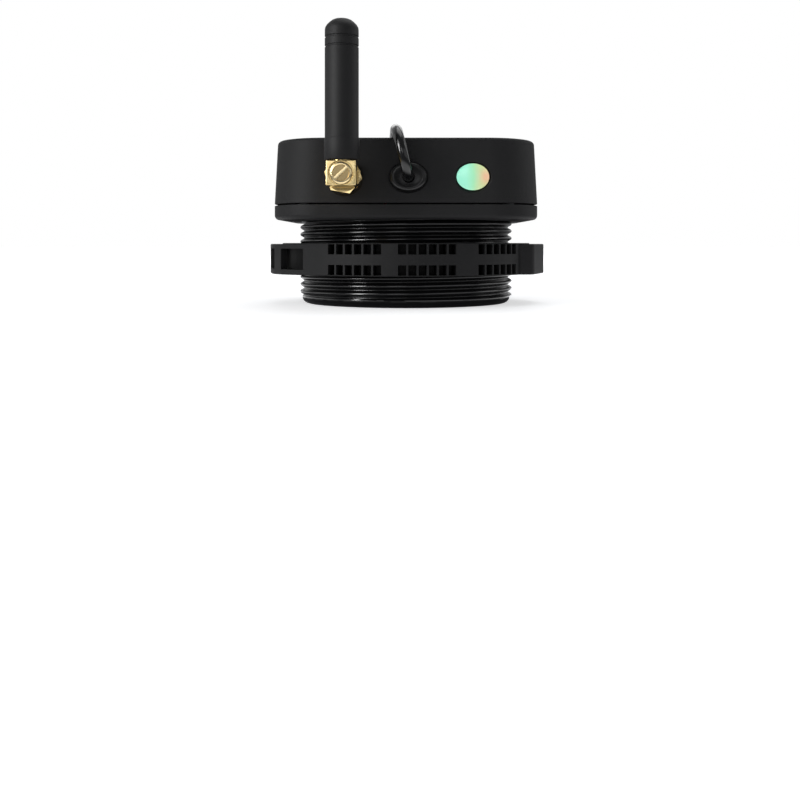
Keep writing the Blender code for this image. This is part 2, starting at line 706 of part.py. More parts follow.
def make_board():
    """The circuit board on its four posts, with the parts that it carries."""
    outline = [(x * BOARD_WIDTH / 2, y * BOARD_WIDTH / 2) for x, y in ((1, 1), (-1, 1), (-1, -1), (1, -1))]
    board = extruded("main_board", outline, BOARD_Z, BOARD_TOP_Z,
                     finish_material("board_green", (0.01, 0.09, 0.035), 0.45))
    below, above = BOARD_Z - WALL, BOARD_TOP_Z + WALL
    for index, (x, y) in enumerate(corners(SCREW_PLACE), 1):
        notch = turned(f"board_notch_{index}", disc_profile(SCREW_BOSS / 2 + 2 * GAP, below, above),
                       None, TINY_STEPS)
        notch.location = (x, y, 0.0)
        cut(board, notch)
    for index, (x, y) in enumerate(corners(POST_PLACE), 1):
        hole = turned(f"board_hole_{index}", disc_profile(BOARD_SCREW / 2 + GAP, below, above),
                      None, TINY_STEPS)
        hole.location = (x, y, 0.0)
        cut(board, hole)
        seat = BOARD_TOP_Z + GAP
        tip = max(seat - BOARD_SCREW_LENGTH, FLOOR_Z + GAP)
        screw = turned(f"board_screw_{index}", [
            (0.0, tip), (BOARD_SCREW / 2, tip), (BOARD_SCREW / 2, seat), (BOARD_SCREW_HEAD / 2, seat),
            (BOARD_SCREW_HEAD / 2, seat + BOARD_SCREW_HEAD_HEIGHT / 2),
            (BOARD_SCREW_HEAD / 4, seat + BOARD_SCREW_HEAD_HEIGHT), (0.0, seat + BOARD_SCREW_HEAD_HEIGHT),
        ], steel(), TINY_STEPS)
        screw.location = (x, y, 0.0)

    board_part("radio_module", RADIO_SIZE, RADIO_PLACE,
               finish_material("tinned_can", (0.6, 0.6, 0.6), 0.35, 1.0))
    board_part("processor", PROCESSOR_SIZE, PROCESSOR_PLACE,
               finish_material("chip_black", (0.02, 0.02, 0.02), 0.5))
    board_part("pulse_transformer", TRANSFORMER_SIZE, TRANSFORMER_PLACE,
               finish_material("ferrite", (0.03, 0.03, 0.035), 0.6))
    terminal = board_part("terminal_block", TERMINAL_SIZE, TERMINAL_PLACE,
                          finish_material("terminal_green", (0.02, 0.16, 0.06), 0.45))
    well_low = BOARD_TOP_Z + GAP + TERMINAL_SIZE[2] - TERMINAL_HOLE_DEPTH
    for index in range(4):
        screw_well = turned(f"terminal_well_{index + 1}",
                            disc_profile(TERMINAL_HOLE / 2, well_low, well_low + 2 * TERMINAL_HOLE_DEPTH),
                            None, TINY_STEPS)
        screw_well.location = (TERMINAL_PLACE[0] + TERMINAL_PITCH * (index - 1.5), TERMINAL_PLACE[1], 0.0)
        cut(terminal, screw_well)

    lens_back = FACE_Y + WALL + GAP + wall_slack(LENS_HEIGHT / 2) + LENS_FLANGE
    light_front = lens_back + LED_CLEARANCE + LED_REACH
    led = board_part("status_led", LED_SIZE, (LIGHT_X, light_front + LED_SIZE[1] / 2), white_plastic())
    dome = turned("led_dome", [
        (0.0, -LED_SIZE[1] / 2), (LED_DIAMETER / 2, -LED_SIZE[1] / 2), (LED_DIAMETER / 2, LED_REACH * 0.6),
        (LED_DIAMETER / 3, LED_REACH * 0.9), (0.0, LED_REACH),
    ], None, TINY_STEPS)
    dome.location = (LIGHT_X, light_front, FEATURE_Z)
    dome.rotation_euler = (math.pi / 2, 0.0, 0.0)
    join(led, dome)


def make_jack(frame):
    """The bulkhead jack through the front wall, clamped by a washer and a nut inside."""
    thread = JACK_THREAD / 2
    flange_low = -SPOT_DEPTH + GAP
    flange = JACK_FLANGE / 2
    reach = JACK_REACH
    turned("antenna_jack", [
        (0.0, -JACK_TAIL), (thread - GAP, -JACK_TAIL), (thread, -JACK_TAIL + GAP), (thread, flange_low),
        (flange, flange_low), (flange, JACK_FLANGE_THICKNESS), (thread, JACK_FLANGE_THICKNESS),
        (thread, reach - GAP), (thread - GAP, reach), (JACK_SOCKET / 2, reach),
        (JACK_SOCKET / 2, reach - JACK_SOCKET_DEPTH), (0.0, reach - JACK_SOCKET_DEPTH),
    ], brass(), SMALL_STEPS, parent=frame)
    inner = -WALL - GAP - wall_slack(WASHER_DIAMETER / 2)
    turned("jack_washer", disc_profile(WASHER_DIAMETER / 2, inner - WASHER_THICKNESS, inner, thread + GAP),
           steel(), SMALL_STEPS, parent=frame)
    high = inner - WASHER_THICKNESS - GAP
    nut = extruded("jack_nut", hexagon(JACK_NUT_FLATS), high - JACK_NUT_THICKNESS, high, brass(), frame)
    cut(nut, turned("jack_nut_bore", disc_profile(thread + GAP, high - 2 * JACK_NUT_THICKNESS, high + WALL),
                    None, SMALL_STEPS, parent=frame))

    start_y = FACE_Y + JACK_TAIL + GAP
    x, y = RADIO_PLACE
    top = BOARD_TOP_Z + 2 * GAP + RADIO_SIZE[2]
    route = [
        (AERIAL_X, start_y, FEATURE_Z), (AERIAL_X, start_y + COAX_START, FEATURE_Z),
        (AERIAL_X, start_y + COAX_START + COAX_REACH, FEATURE_Z + COAX_RISE),
        (x, y - COAX_REACH, top + COAX_RISE + COAX_START),
        (x, y - COAX_START / 2, top + COAX_DROP), (x, y, top),
    ]
    tube("coax_lead", smooth_route(route, 22), COAX_DIAMETER,
         finish_material("coax_black", (0.015, 0.015, 0.016), 0.4), 2)


def make_coupling(frame):
    """The plain hex nut that draws the aerial onto the jack, held captive on the ferrule."""
    nut = extruded("coupling_nut", hexagon(COUPLING_FLATS, COUPLING_TURN), COUPLING_BACK, COUPLING_FRONT,
                   brass(), frame)
    cut(nut, turned("coupling_bore", [
        (0.0, COUPLING_BACK - WALL), (COUPLING_BORE_RADIUS, COUPLING_BACK - WALL),
        (COUPLING_BORE_RADIUS, COUPLING_FRONT - COUPLING_LIP),
        (FERRULE_DIAMETER / 2 + GAP, COUPLING_FRONT - COUPLING_LIP),
        (FERRULE_DIAMETER / 2 + GAP, COUPLING_FRONT + WALL), (0.0, COUPLING_FRONT + WALL),
    ], None, SMALL_STEPS, parent=frame))


def make_elbow(frame):
    """The square brass elbow: a ferrule into the coupling, a slotted cap in front and a spigot on top."""
    middle = (ELBOW_BACK + ELBOW_FRONT) / 2
    elbow = block("antenna_elbow", (ELBOW_WIDTH, ELBOW_HEIGHT, ELBOW_DEPTH), (0.0, 0.0, middle),
                  brass(), frame)
    inner_end = JACK_REACH + GAP
    flange_end = COUPLING_FRONT - COUPLING_LIP - GAP
    join(elbow, turned("elbow_ferrule", [
        (0.0, inner_end), (FERRULE_FLANGE / 2, inner_end), (FERRULE_FLANGE / 2, flange_end),
        (FERRULE_DIAMETER / 2, flange_end), (FERRULE_DIAMETER / 2, middle), (0.0, middle),
    ], None, SMALL_STEPS, parent=frame))
    spigot = turned("elbow_spigot", disc_profile(SPIGOT_DIAMETER / 2, 0.0, ELBOW_HEIGHT / 2 + SPIGOT_HEIGHT),
                    None, SMALL_STEPS, parent=frame)
    spigot.location = (0.0, 0.0, AERIAL_REACH)
    spigot.rotation_euler = (-math.pi / 2, 0.0, 0.0)
    join(elbow, spigot)
    cut(elbow, turned("elbow_bore", disc_profile(FERRULE_BORE / 2, inner_end - WALL, AERIAL_REACH),
                      None, SMALL_STEPS, parent=frame))
    seat_low = ELBOW_FRONT - CAP_DEPTH - GAP
    cut(elbow, turned("cap_seat", disc_profile(CAP_DIAMETER / 2 + GAP, seat_low, ELBOW_FRONT + WALL),
                      None, SMALL_STEPS, parent=frame))

    cap_low = ELBOW_FRONT - CAP_DEPTH
    cap_edge = CAP_DIAMETER / 2
    dish = cap_edge - CAP_RIM_WIDTH
    cap = turned("elbow_cap", [
        (0.0, cap_low), (cap_edge, cap_low), (cap_edge, ELBOW_FRONT), (dish, ELBOW_FRONT),
        (dish - CAP_RIM_SLOPE, ELBOW_FRONT - CAP_RECESS), (0.0, ELBOW_FRONT - CAP_RECESS),
    ], brass(), SMALL_STEPS, parent=frame)
    bar = block("cap_bar", (2 * dish, CAP_BAR_WIDTH, CAP_BAR_HEIGHT), (0.0, 0.0, 0.0), None, frame)
    bar.location = (0.0, 0.0, ELBOW_FRONT - CAP_BAR_SETBACK - CAP_BAR_HEIGHT / 2)
    bar.rotation_euler = (0.0, 0.0, CAP_BAR_TURN)
    join(cap, bar)

    bead_low, bead_end = inner_end + GAP, AERIAL_REACH - GAP
    turned("contact_insulator",
           disc_profile(FERRULE_BORE / 2 - GAP, bead_low, bead_end, PIN_DIAMETER / 2 + GAP),
           white_plastic(), SMALL_STEPS, parent=frame)
    turned("contact_pin", disc_profile(PIN_DIAMETER / 2, JACK_REACH - JACK_SOCKET_DEPTH + GAP, bead_end),
           finish_material("gold_plate", (0.9, 0.65, 0.25), 0.2, 1.0), 12, parent=frame)


def make_sleeve(frame):
    """The aerial's moulded sleeve with the wound radiator inside. Its own frame has Z up the aerial."""
    upright = bpy.data.objects.new("sleeve_frame", None)
    bpy.context.scene.collection.objects.link(upright)
    upright.parent = frame
    upright.location = (0.0, ELBOW_HEIGHT / 2 + GAP, AERIAL_REACH)
    upright.rotation_euler = (-math.pi / 2, 0.0, 0.0)

    radius = SLEEVE_DIAMETER / 2
    foot = SLEEVE_FOOT_DIAMETER / 2
    bore = SPIGOT_DIAMETER / 2 + GAP
    top = SLEEVE_LENGTH
    profile = [(bore, 0.0), (foot - GAP, 0.0), (foot, GAP), (foot, SLEEVE_FOOT_HEIGHT),
               (radius, SLEEVE_FOOT_HEIGHT + 2 * GAP)]
    for depth in reversed(RING_GROOVES):
        low = top - depth - RING_GROOVE_WIDTH / 2
        inside = radius - RING_GROOVE_DEPTH
        profile += [(radius, low), (inside, low + RING_GROOVE_WIDTH / 4),
                    (inside, low + RING_GROOVE_WIDTH * 3 / 4), (radius, low + RING_GROOVE_WIDTH)]
    for step in range(5):
        angle = math.pi / 2 * step / 5
        profile.append((radius * math.cos(angle), top - DOME_HEIGHT + DOME_HEIGHT * math.sin(angle)))
    profile += [(0.0, top), (0.0, top - SLEEVE_TOP_WALL), (bore, top - SLEEVE_TOP_WALL)]
    turned("antenna_sleeve", profile, aerial_black(), 28, parent=upright)

    core_low = SPIGOT_HEIGHT
    core_high = top - SLEEVE_TOP_WALL - GAP
    turned("radiator_core", disc_profile(CORE_DIAMETER / 2, core_low, core_high),
           white_plastic(), TINY_STEPS, parent=upright)
    start = core_low + COIL_WIRE
    turns = int((core_high - start - COIL_WIRE) / COIL_PITCH)
    steps = 8
    turn_radius = COIL_DIAMETER / 2
    helix = [
        Vector((
            turn_radius * math.cos(math.tau * step / steps),
            turn_radius * math.sin(math.tau * step / steps),
            start + COIL_PITCH * step / steps,
        ))
        for step in range(turns * steps + 1)
    ]
    tube("radiator_coil", helix, COIL_WIRE, finish_material("copper", (0.8, 0.36, 0.2), 0.3, 1.0), 1, upright)


def make_grommet(frame):
    """The oval rubber grommet that grips the wall, with a round bore for the cable."""
    edge = GROMMET_HEIGHT / 2
    neck = edge - GROMMET_NECK_INSET - GAP
    seat = -SPOT_DEPTH + GAP
    inner = -WALL - GAP - wall_slack(edge)
    crown = GROMMET_STAND
    low = inner - GROMMET_FLANGE
    profile = [(0.0, low), (edge - 2 * GAP, low), (edge, low + GROMMET_FLANGE / 2),
               (edge, inner), (neck, inner), (neck, seat), (edge, seat)]
    for step in range(3):
        angle = math.pi / 2 * step / 2
        profile.append((
            edge - GROMMET_ROUND * (1 - math.cos(angle)),
            crown - GROMMET_ROUND * (1 - math.sin(angle)),
        ))
    profile.append((0.0, crown))
    grommet = turned("cable_grommet", profile, rubber(), SMALL_STEPS, GROMMET_WIDTH / GROMMET_HEIGHT, frame)
    cut(grommet, turned("grommet_bore", disc_profile(CORD_RADIUS + GAP, inner - 3 * WALL, crown + WALL),
                        None, SMALL_STEPS, parent=frame))

    end_y = TERMINAL_PLACE[1] - TERMINAL_SIZE[1] / 2 - GAP
    clear = FACE_Y - inner + GROMMET_FLANGE + CORD_RADIUS
    route = [
        (CABLE_X, FACE_Y - crown, FEATURE_Z), (CABLE_X, clear, FEATURE_Z),
        (TERMINAL_PLACE[0], end_y - CORD_DIAMETER, FEATURE_Z), (TERMINAL_PLACE[0], end_y, FEATURE_Z),
    ]
    tube("inner_cable", smooth_route(route, 10), CORD_DIAMETER,
         finish_material("cord_black", (0.014, 0.014, 0.015), 0.4), 2)


def make_light(frame):
    """The clear window over the status light, held by a flange inside the wall."""
    edge = LENS_HEIGHT / 2
    inner = -WALL - GAP - wall_slack(edge)
    low = inner - LENS_FLANGE
    flange = edge + 3 * GAP
    profile = [(0.0, low), (flange, low), (flange, inner), (edge, inner), (edge, -GAP)]
    for step in range(1, 5):
        angle = math.pi / 2 * step / 4
        profile.append((edge * math.cos(angle), LENS_CROWN * math.sin(angle)))
    profile[-1] = (0.0, LENS_CROWN)
    turned("led_window", profile, finish_material("clear_lens", (0.45, 0.85, 0.68), 0.15),
           28, LENS_WIDTH / LENS_HEIGHT, frame)


def nut_point(stand, angle):
    """A place in plan: how far past the nut's ring, and at how many degrees from the ear's middle."""
    reach = NUT_DIAMETER / 2 + stand
    return (reach * math.cos(math.radians(angle)), reach * math.sin(math.radians(angle)))


def ear_outline():
    """One ear of the lock nut in plan, with +X out along the ear: the blunt side is at -Y."""
    root = -NUT_RING - THREAD_DEPTH
    return [nut_point(stand, angle) for stand, angle in (
        (0.0, -41.1), (EAR_CORNER_STAND, -35.8), (EAR_HEEL_STAND, -14.0), (EAR_STAND, -5.0), (EAR_STAND, 6.0),
        (POST_END_STAND, 9.4), (POST_SIDE_STAND, 15.8), (0.0, 36.9), (root, 32.0), (root, -32.0),
    )]


def ear_pocket_outline():
    """The hollow of an ear in plan. It opens on the long flank and on the end, on both sides of a post."""
    inside = -EAR_POCKET_DEPTH
    past = EAR_STAND + EAR_POCKET_CLEAR
    return [nut_point(stand, angle) for stand, angle in (
        (EAR_FLANK_STAND, 30.6), (inside, 27.5), (inside, 14.2), (inside, 0.0), (inside / 2, -13.6),
        (past, -11.3), (past, 10.1), (POST_END_STAND, 9.4), (POST_END_STAND - POST_THICKNESS, 8.8),
        (POST_SIDE_STAND - POST_THICKNESS, 14.9), (POST_SIDE_STAND, 15.8), (past, 17.3),
    )]


def slot_outline(middle):
    """One slot between two ribs in plan, as a wedge that reaches in from outside the nut."""
    inside = NUT_DIAMETER / 2 - SLOT_DEPTH
    outside = NUT_DIAMETER / 2 + SLOT_DEPTH
    angles = (middle - SLOT_ANGLE / 2, middle + SLOT_ANGLE / 2)
    corners_in = [(inside * math.sin(angle), -inside * math.cos(angle)) for angle in angles]
    corners_out = [(outside * math.sin(angle), -outside * math.cos(angle)) for angle in reversed(angles)]
    return corners_in + corners_out


def make_lock_nut():
    """The nut that clamps the housing: two ears, and rows of ribs above and below a plain band."""
    outer = NUT_DIAMETER / 2
    bore = THREAD_RADIUS + NUT_BORE_CLEARANCE
    nut = turned("lock_nut", disc_profile(outer, 0.0, NUT_HEIGHT), nut_black())
    nut.location = (0.0, 0.0, NUT_Z)
    nut.rotation_euler = (0.0, 0.0, NUT_TURN)
    for index in range(2):
        turn = Matrix.Rotation(math.pi * index, 2)
        outline = [tuple(turn @ Vector(point)) for point in ear_outline()]
        join(nut, extruded(f"ear_{index + 1}", outline, 0.0, NUT_HEIGHT, None, nut))
    cut(nut, turned("nut_bore", disc_profile(bore, -NUT_HEIGHT, 2 * NUT_HEIGHT), None, parent=nut))
    for index in range(2):
        turn = Matrix.Rotation(math.pi * index, 2)
        outline = [tuple(turn @ Vector(point)) for point in ear_pocket_outline()]
        cut(nut, extruded(f"ear_pocket_{index + 1}", outline, EAR_PLATE, NUT_HEIGHT - EAR_TOP_PLATE,
                          None, nut))

    slots = bmesh.new()
    rows = ((SLOT_LIP, SLOT_LIP + SLOT_HEIGHT), (NUT_HEIGHT - SLOT_LIP - SLOT_HEIGHT, NUT_HEIGHT - SLOT_LIP))
    for side in (0.0, math.pi):
        for group in RIB_GROUP_ANGLES:
            for slot in range(SLOTS_PER_GROUP):
                middle = side + group + SLOT_PITCH * (slot - (SLOTS_PER_GROUP - 1) / 2)
                for low, high in rows:
                    points = [slots.verts.new((x, y, low)) for x, y in slot_outline(middle)]
                    face = slots.faces.new(points)
                    grown = bmesh.ops.extrude_face_region(slots, geom=[face])["geom"]
                    moved = [item for item in grown if isinstance(item, bmesh.types.BMVert)]
                    bmesh.ops.translate(slots, vec=(0.0, 0.0, high - low), verts=moved)
    cut(nut, add_object("rib_slots", mesh_from("rib_slots", slots), None, nut))


def cord_route():
    """The cord's own places, from the grommet over the top and down behind to its coil, in millimetres."""
    rest = RIM_Z / MM + CORD_RADIUS / MM
    top = TOP_Z / MM + CORD_RADIUS / MM + 0.3
    start_y = (FACE_Y - GROMMET_STAND - GAP) / MM
    points = [
        (0.6, start_y, 32.4), (0.5, -38.9, 32.6), (0.1, -41.7, 34.2), (-0.6, -42.9, 37.0),
        (-1.5, -42.2, 40.3), (-2.1, -39.4, 42.9), (-2.5, -35.4, top), (-2.7, -29.0, top),
        (-3.0, -16.0, top), (-2.9, 0.0, top), (-2.6, 16.0, top), (-2.4, 29.0, top),
        (-2.4, 35.8, 43.8), (-2.5, 40.2, 41.2), (-2.6, 43.2, 37.0), (-2.8, 44.2, 30.0),
        (-3.0, 44.2, 22.0), (-3.3, 44.0, 14.0), (-4.0, 43.7, 7.0), (-6.2, 43.8, 2.4),
        (-10.4, 45.2, rest), (-15.6, 49.4, rest), (-19.9, 56.0, rest), (-22.2, 63.0, rest + 0.3),
    ]
    return [Vector(point) * MM for point in points]


def tail_route():
    """The free end after the coil, up to where its jacket stops, in millimetres."""
    rest = RIM_Z / MM + CORD_RADIUS / MM
    points = [(22.9, 70.0, rest + 0.3), (22.7, 65.0, rest), (21.9, 60.5, rest), (20.6, 56.4, rest)]
    return [Vector(point) * MM for point in points]


def make_cord():
    """The cord's solids: the free stretch, its coil with two ties, the tail and the four bare cores."""
    black = finish_material("cord_black", (0.014, 0.014, 0.015), 0.4)
    tube("power_cable", smooth_route(cord_route(), 46), CORD_DIAMETER, black)
    tube("cable_tail", smooth_route(tail_route(), 8), CORD_DIAMETER, black)

    half = CORD_DIAMETER * COIL_ROWS / 2
    mean = COIL_MEAN_DIAMETER / 2
    low = RIM_Z + COIL_LIFT
    high = low + 2 * half
    bevel = CORD_RADIUS * 0.6
    coil = turned("cable_coil", [
        (mean - half, low + bevel), (mean - half + bevel, low),
        (mean + half - bevel, low), (mean + half, low + bevel),
        (mean + half, high - bevel), (mean + half - bevel, high),
        (mean - half + bevel, high), (mean - half, high - bevel),
    ], black, 40)
    coil.location = COIL_PLACE

    inside = 2 * half + 2 * GAP
    outside = inside + 2 * TIE_THICKNESS
    for index, angle in enumerate(TIE_ANGLES, 1):
        tie = block(f"cable_tie_{index}", (outside, TIE_WIDTH, outside), (0.0, 0.0, 0.0), rubber())
        tie.location = COIL_PLACE + Vector((mean * math.cos(angle), mean * math.sin(angle), low + half))
        tie.rotation_euler = (0.0, 0.0, angle)
        cut(tie, block(f"tie_inside_{index}", (inside, TIE_WIDTH * 2, inside), (0.0, 0.0, 0.0), None, tie))

    end, before = tail_route()[-1], tail_route()[-2]
    ahead = (end - before).normalized()
    across = Vector((0.0, 0.0, 1.0)).cross(ahead)
    spread = CORE_WIRE_DIAMETER / 2 + GAP / 2
    floor = RIM_Z + CORE_WIRE_DIAMETER / 2
    colours = {"red": (0.45, 0.02, 0.015), "yellow": (0.7, 0.45, 0.02), "blue": (0.02, 0.07, 0.4),
               "black": (0.012, 0.012, 0.013)}
    for index, (name, colour) in enumerate(colours.items()):
        side = 1 if index % 2 else -1
        level = 1 if index < 2 else -1
        fan = side * (3.2 if level < 0 else 1.0) * MM
        start = end + ahead * GAP + across * side * spread + Vector((0.0, 0.0, level * spread))
        knee = start + ahead * 3.5 * MM + across * fan * (0.45 if level < 0 else 0.1)
        rest = end + ahead * 8.0 * MM + across * (side * spread + fan)
        tip = end + ahead * 12.0 * MM + across * (side * spread + fan * 1.7)
        knee.z = (start.z + floor) / 2
        rest.z = tip.z = floor
        tube(f"core_{name}", smooth_route([start, knee, rest, tip], 9), CORE_WIRE_DIAMETER,
             finish_material(f"insulation_{name}", colour, 0.45), 1)


def main():
    clear_scene()
    frames = {
        "aerial": face_frame("aerial_axis", AERIAL_X),
        "cable": face_frame("cable_axis", CABLE_X),
        "light": face_frame("light_axis", LIGHT_X),
    }
    make_base_housing()
    make_cover_seal()
    make_upper_cover(frames)
    make_cover_screws()
    make_transducer()
    make_board()
    make_jack(frames["aerial"])
    make_coupling(frames["aerial"])
    make_elbow(frames["aerial"])
    make_sleeve(frames["aerial"])
    make_grommet(frames["cable"])
    make_light(frames["light"])
    make_lock_nut()
    make_cord()


main()
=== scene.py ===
# %% [markdown]
# # Dressing an ultrasonic level sensor
#
# The sensor hangs in the lid of a tank, sends sound down and times its echo. Its moving parts and sizes come
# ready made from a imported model, which stays as it is. This lesson gives the pieces their fine shapes and
# their finishes. Every length is in metres, and one millimetre has a name of its own because the sensor
# is small.

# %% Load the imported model
import math

import bmesh
import bpy
from mathutils import Matrix, Vector


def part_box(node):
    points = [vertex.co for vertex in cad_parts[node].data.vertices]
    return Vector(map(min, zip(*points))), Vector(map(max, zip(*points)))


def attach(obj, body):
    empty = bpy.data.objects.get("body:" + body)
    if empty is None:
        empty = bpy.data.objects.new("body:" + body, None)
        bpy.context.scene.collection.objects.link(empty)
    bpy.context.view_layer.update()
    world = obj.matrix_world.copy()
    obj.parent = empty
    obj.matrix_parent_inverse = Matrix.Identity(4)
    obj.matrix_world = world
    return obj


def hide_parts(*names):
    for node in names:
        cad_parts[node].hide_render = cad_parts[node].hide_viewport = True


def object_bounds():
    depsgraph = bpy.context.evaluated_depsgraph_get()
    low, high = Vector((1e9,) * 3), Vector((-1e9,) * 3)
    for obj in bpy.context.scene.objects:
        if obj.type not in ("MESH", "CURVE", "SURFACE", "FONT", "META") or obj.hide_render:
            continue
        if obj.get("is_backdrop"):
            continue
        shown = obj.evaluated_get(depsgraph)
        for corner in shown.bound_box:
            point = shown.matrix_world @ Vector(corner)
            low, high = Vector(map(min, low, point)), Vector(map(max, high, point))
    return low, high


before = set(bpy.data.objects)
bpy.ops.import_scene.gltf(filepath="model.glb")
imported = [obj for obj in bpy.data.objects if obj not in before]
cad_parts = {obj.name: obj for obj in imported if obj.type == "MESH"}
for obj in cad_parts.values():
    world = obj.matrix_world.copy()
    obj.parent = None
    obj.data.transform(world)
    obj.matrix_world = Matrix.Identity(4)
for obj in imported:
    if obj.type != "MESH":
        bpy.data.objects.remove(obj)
MM = 0.001
cad_box = [list(corner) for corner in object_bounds()]
print("Packed model, lowest and highest corner:", cad_box)

# %% [markdown]
# ## Places to build from
#
# New pieces could be placed by typed coordinates, but they would drift apart when the model changes. So the
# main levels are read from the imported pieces: the table under the rim, the two shells, and the middle of the
# window in the front wall, which shares its height with the cable and the aerial. The cover's walls lean in
# by a moulder's draft angle, so the wall's place depends on the height.

# %% Levels and the front wall
base_low, base_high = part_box("base_housing")
cover_low, cover_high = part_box("upper_cover")
lens_low, lens_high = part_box("led_window")
grommet_low, grommet_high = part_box("cable_grommet")
sleeve_low, sleeve_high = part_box("antenna_sleeve")
nut_low, nut_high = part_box("lock_nut")

TABLE_Z = base_low.z
HOUSING_HALF = base_high.x
SEAM = 0.4 * MM
BASE_HEIGHT = 3.7 * MM
BASE_TOP_Z = cover_low.z - SEAM
UNDERSIDE_Z = BASE_TOP_Z - BASE_HEIGHT
CORNER_RADIUS = 13.0 * MM
WALL = 2.5 * MM
COVER_DRAFT = math.radians(2.7)
FEATURE_Z = (lens_low.z + lens_high.z) / 2
FACE_Y = -(HOUSING_HALF - (FEATURE_Z - cover_low.z) * math.tan(COVER_DRAFT))
print(f"Underside {UNDERSIDE_Z / MM:.1f} mm, seam {BASE_TOP_Z / MM:.1f} mm, front wall {FACE_Y / MM:.2f} mm")

# %% [markdown]
# ## Camera
#
# The picture looks straight at the front, level with the nut, from 280 mm before the neck's axis. The sensor
# sits in the upper half of the frame. Tilting the camera would make the upright sides lean together, so the
# camera stays level and its lens is shifted instead, as with a view camera. The Standard view transform
# shows a colour as it is written.

# %% Camera
FRAME_PIXELS, HORIZON_PIXEL, AXIS_PIXEL = 800.0, 243.0, 406.0
FOCAL_LENGTH, SENSOR_WIDTH = 44.1, 36.0
CAMERA_DISTANCE, CAMERA_HEIGHT = 0.280, 0.0158
camera_data = bpy.data.cameras.new("front_camera")
camera_data.lens = FOCAL_LENGTH
camera_data.sensor_width = SENSOR_WIDTH
camera_data.shift_x = (FRAME_PIXELS / 2 - AXIS_PIXEL) / FRAME_PIXELS
camera_data.shift_y = (HORIZON_PIXEL - FRAME_PIXELS / 2) / FRAME_PIXELS
camera_data.clip_start = 0.01
camera_data.clip_end = 50.0
camera = bpy.data.objects.new("front_camera", camera_data)
camera.location = (0.0, -CAMERA_DISTANCE, CAMERA_HEIGHT)
camera.rotation_euler = (math.pi / 2, 0.0, 0.0)
bpy.context.scene.collection.objects.link(camera)
bpy.context.scene.camera = camera
bpy.context.scene.view_settings.view_transform = "Standard"
print("Camera shift:", round(camera_data.shift_x, 4), round(camera_data.shift_y, 4))

# %% [markdown]
# ## Colours and nodes
#
# Colours are easiest to read off a picture as hex codes, which are sRGB, while a shader works on linear
# light. One function turns the one into the other. Every node below is added by one more function: it makes
# the node, sets its options, and fills its inputs, with a link where the value is another node's output.
# Three short ones on top of it make the nodes that come most often: sums, ranges and mixed colours.

# %% Colour and node helpers
def linear(code):
    """An sRGB hex code as linear red, green, blue and alpha."""
    values = [int(code[index:index + 2], 16) / 255 for index in (1, 3, 5)]
    return (*[v / 12.92 if v <= 0.04045 else ((v + 0.055) / 1.055) ** 2.4 for v in values], 1.0)


def add_node(tree, kind, inputs=None, **options):
    """Add a shader node. Inputs go by name or number.

    An output given as a value is linked, and so is a node, by its first output."""
    node = tree.nodes.new("ShaderNode" + kind)
    for option, value in options.items():
        setattr(node, option, value)
    for key, value in (inputs or {}).items():
        if isinstance(value, bpy.types.Node):
            value = value.outputs[0]
        if isinstance(value, bpy.types.NodeSocket):
            tree.links.new(value, node.inputs[key])
        else:
            node.inputs[key].default_value = value
    return node


def maths(tree, operation, *values):
    """A sum of one, two or three values."""
    return add_node(tree, "Math", dict(enumerate(values)), operation=operation)


def ramp(tree, value, low, high, start=0.0, end=1.0, smooth=False):
    """A value that goes from start to end while another goes from low to high."""
    return add_node(tree, "MapRange", {0: value, 1: low, 2: high, 3: start, 4: end},
                    interpolation_type="SMOOTHSTEP" if smooth else "LINEAR")


# A Mix node holds a set of sockets for each kind of value, and these are the ones for colour
MIX_FACTOR, MIX_A, MIX_B, MIX_RESULT = 0, 6, 7, 2


def mixed(tree, factor, first, second, blend="MIX"):
    """The colour that a factor gives between two others."""
    return add_node(tree, "Mix", {MIX_FACTOR: factor, MIX_A: first, MIX_B: second}, data_type="RGBA",
                    blend_type=blend).outputs[MIX_RESULT]


# %% [markdown]
# ## Studio
#
# A pale table, a white surround and a ring of soft boxes are enough. The surround is white only to the
# camera and to what the camera sees through clear pieces. Mirror-like surfaces see it pale behind the
# sensor and dim in front, as in a studio where the room behind the photographer is dark. That keeps black
# plastic black on its front and gives its round corners a pale edge.

# %% Surround
ROOM_LEVEL, BEHIND_LEVEL = 0.20, 0.35
world = bpy.data.worlds.new("studio")
bpy.context.scene.world = world
world.use_nodes = True
tree = world.node_tree
tree.nodes.clear()
rays = add_node(tree, "LightPath").outputs
direction = add_node(tree, "TexCoord").outputs["Generated"]
ahead = add_node(tree, "SeparateXYZ", {0: direction}).outputs["Y"]
behind = ramp(tree, ahead, -0.1, 0.6, smooth=True)
pale_behind = maths(tree, "MULTIPLY", behind, BEHIND_LEVEL)
glossy_behind = maths(tree, "MULTIPLY", pale_behind, rays["Is Glossy Ray"])
direct = maths(tree, "MAXIMUM", rays["Is Camera Ray"], rays["Is Transmission Ray"])
seen = maths(tree, "MAXIMUM", direct, glossy_behind)
room = add_node(tree, "Background", {"Color": linear("#f3f6fa"), "Strength": ROOM_LEVEL})
white = add_node(tree, "Background", {"Color": linear("#ffffff"), "Strength": 1.0})
surround = add_node(tree, "MixShader", {0: seen, 1: room, 2: white})
add_node(tree, "OutputWorld", {"Surface": surround})
print("Room level:", ROOM_LEVEL)

# %% [markdown]
# The table is plain and pale. A lit table goes grey in the distance, where the soft boxes don't reach, and
# would show as a band behind the sensor. So it glows a little towards the camera, more with distance, until
# it meets the white surround, and close by it still darkens under the sensor. Shiny surfaces see it white
# only in a ring round the neck, which draws a pale line along the lower edges, and grey elsewhere, as if
# grey card lay there. From below it is clear, so that the sensing face can be looked at.

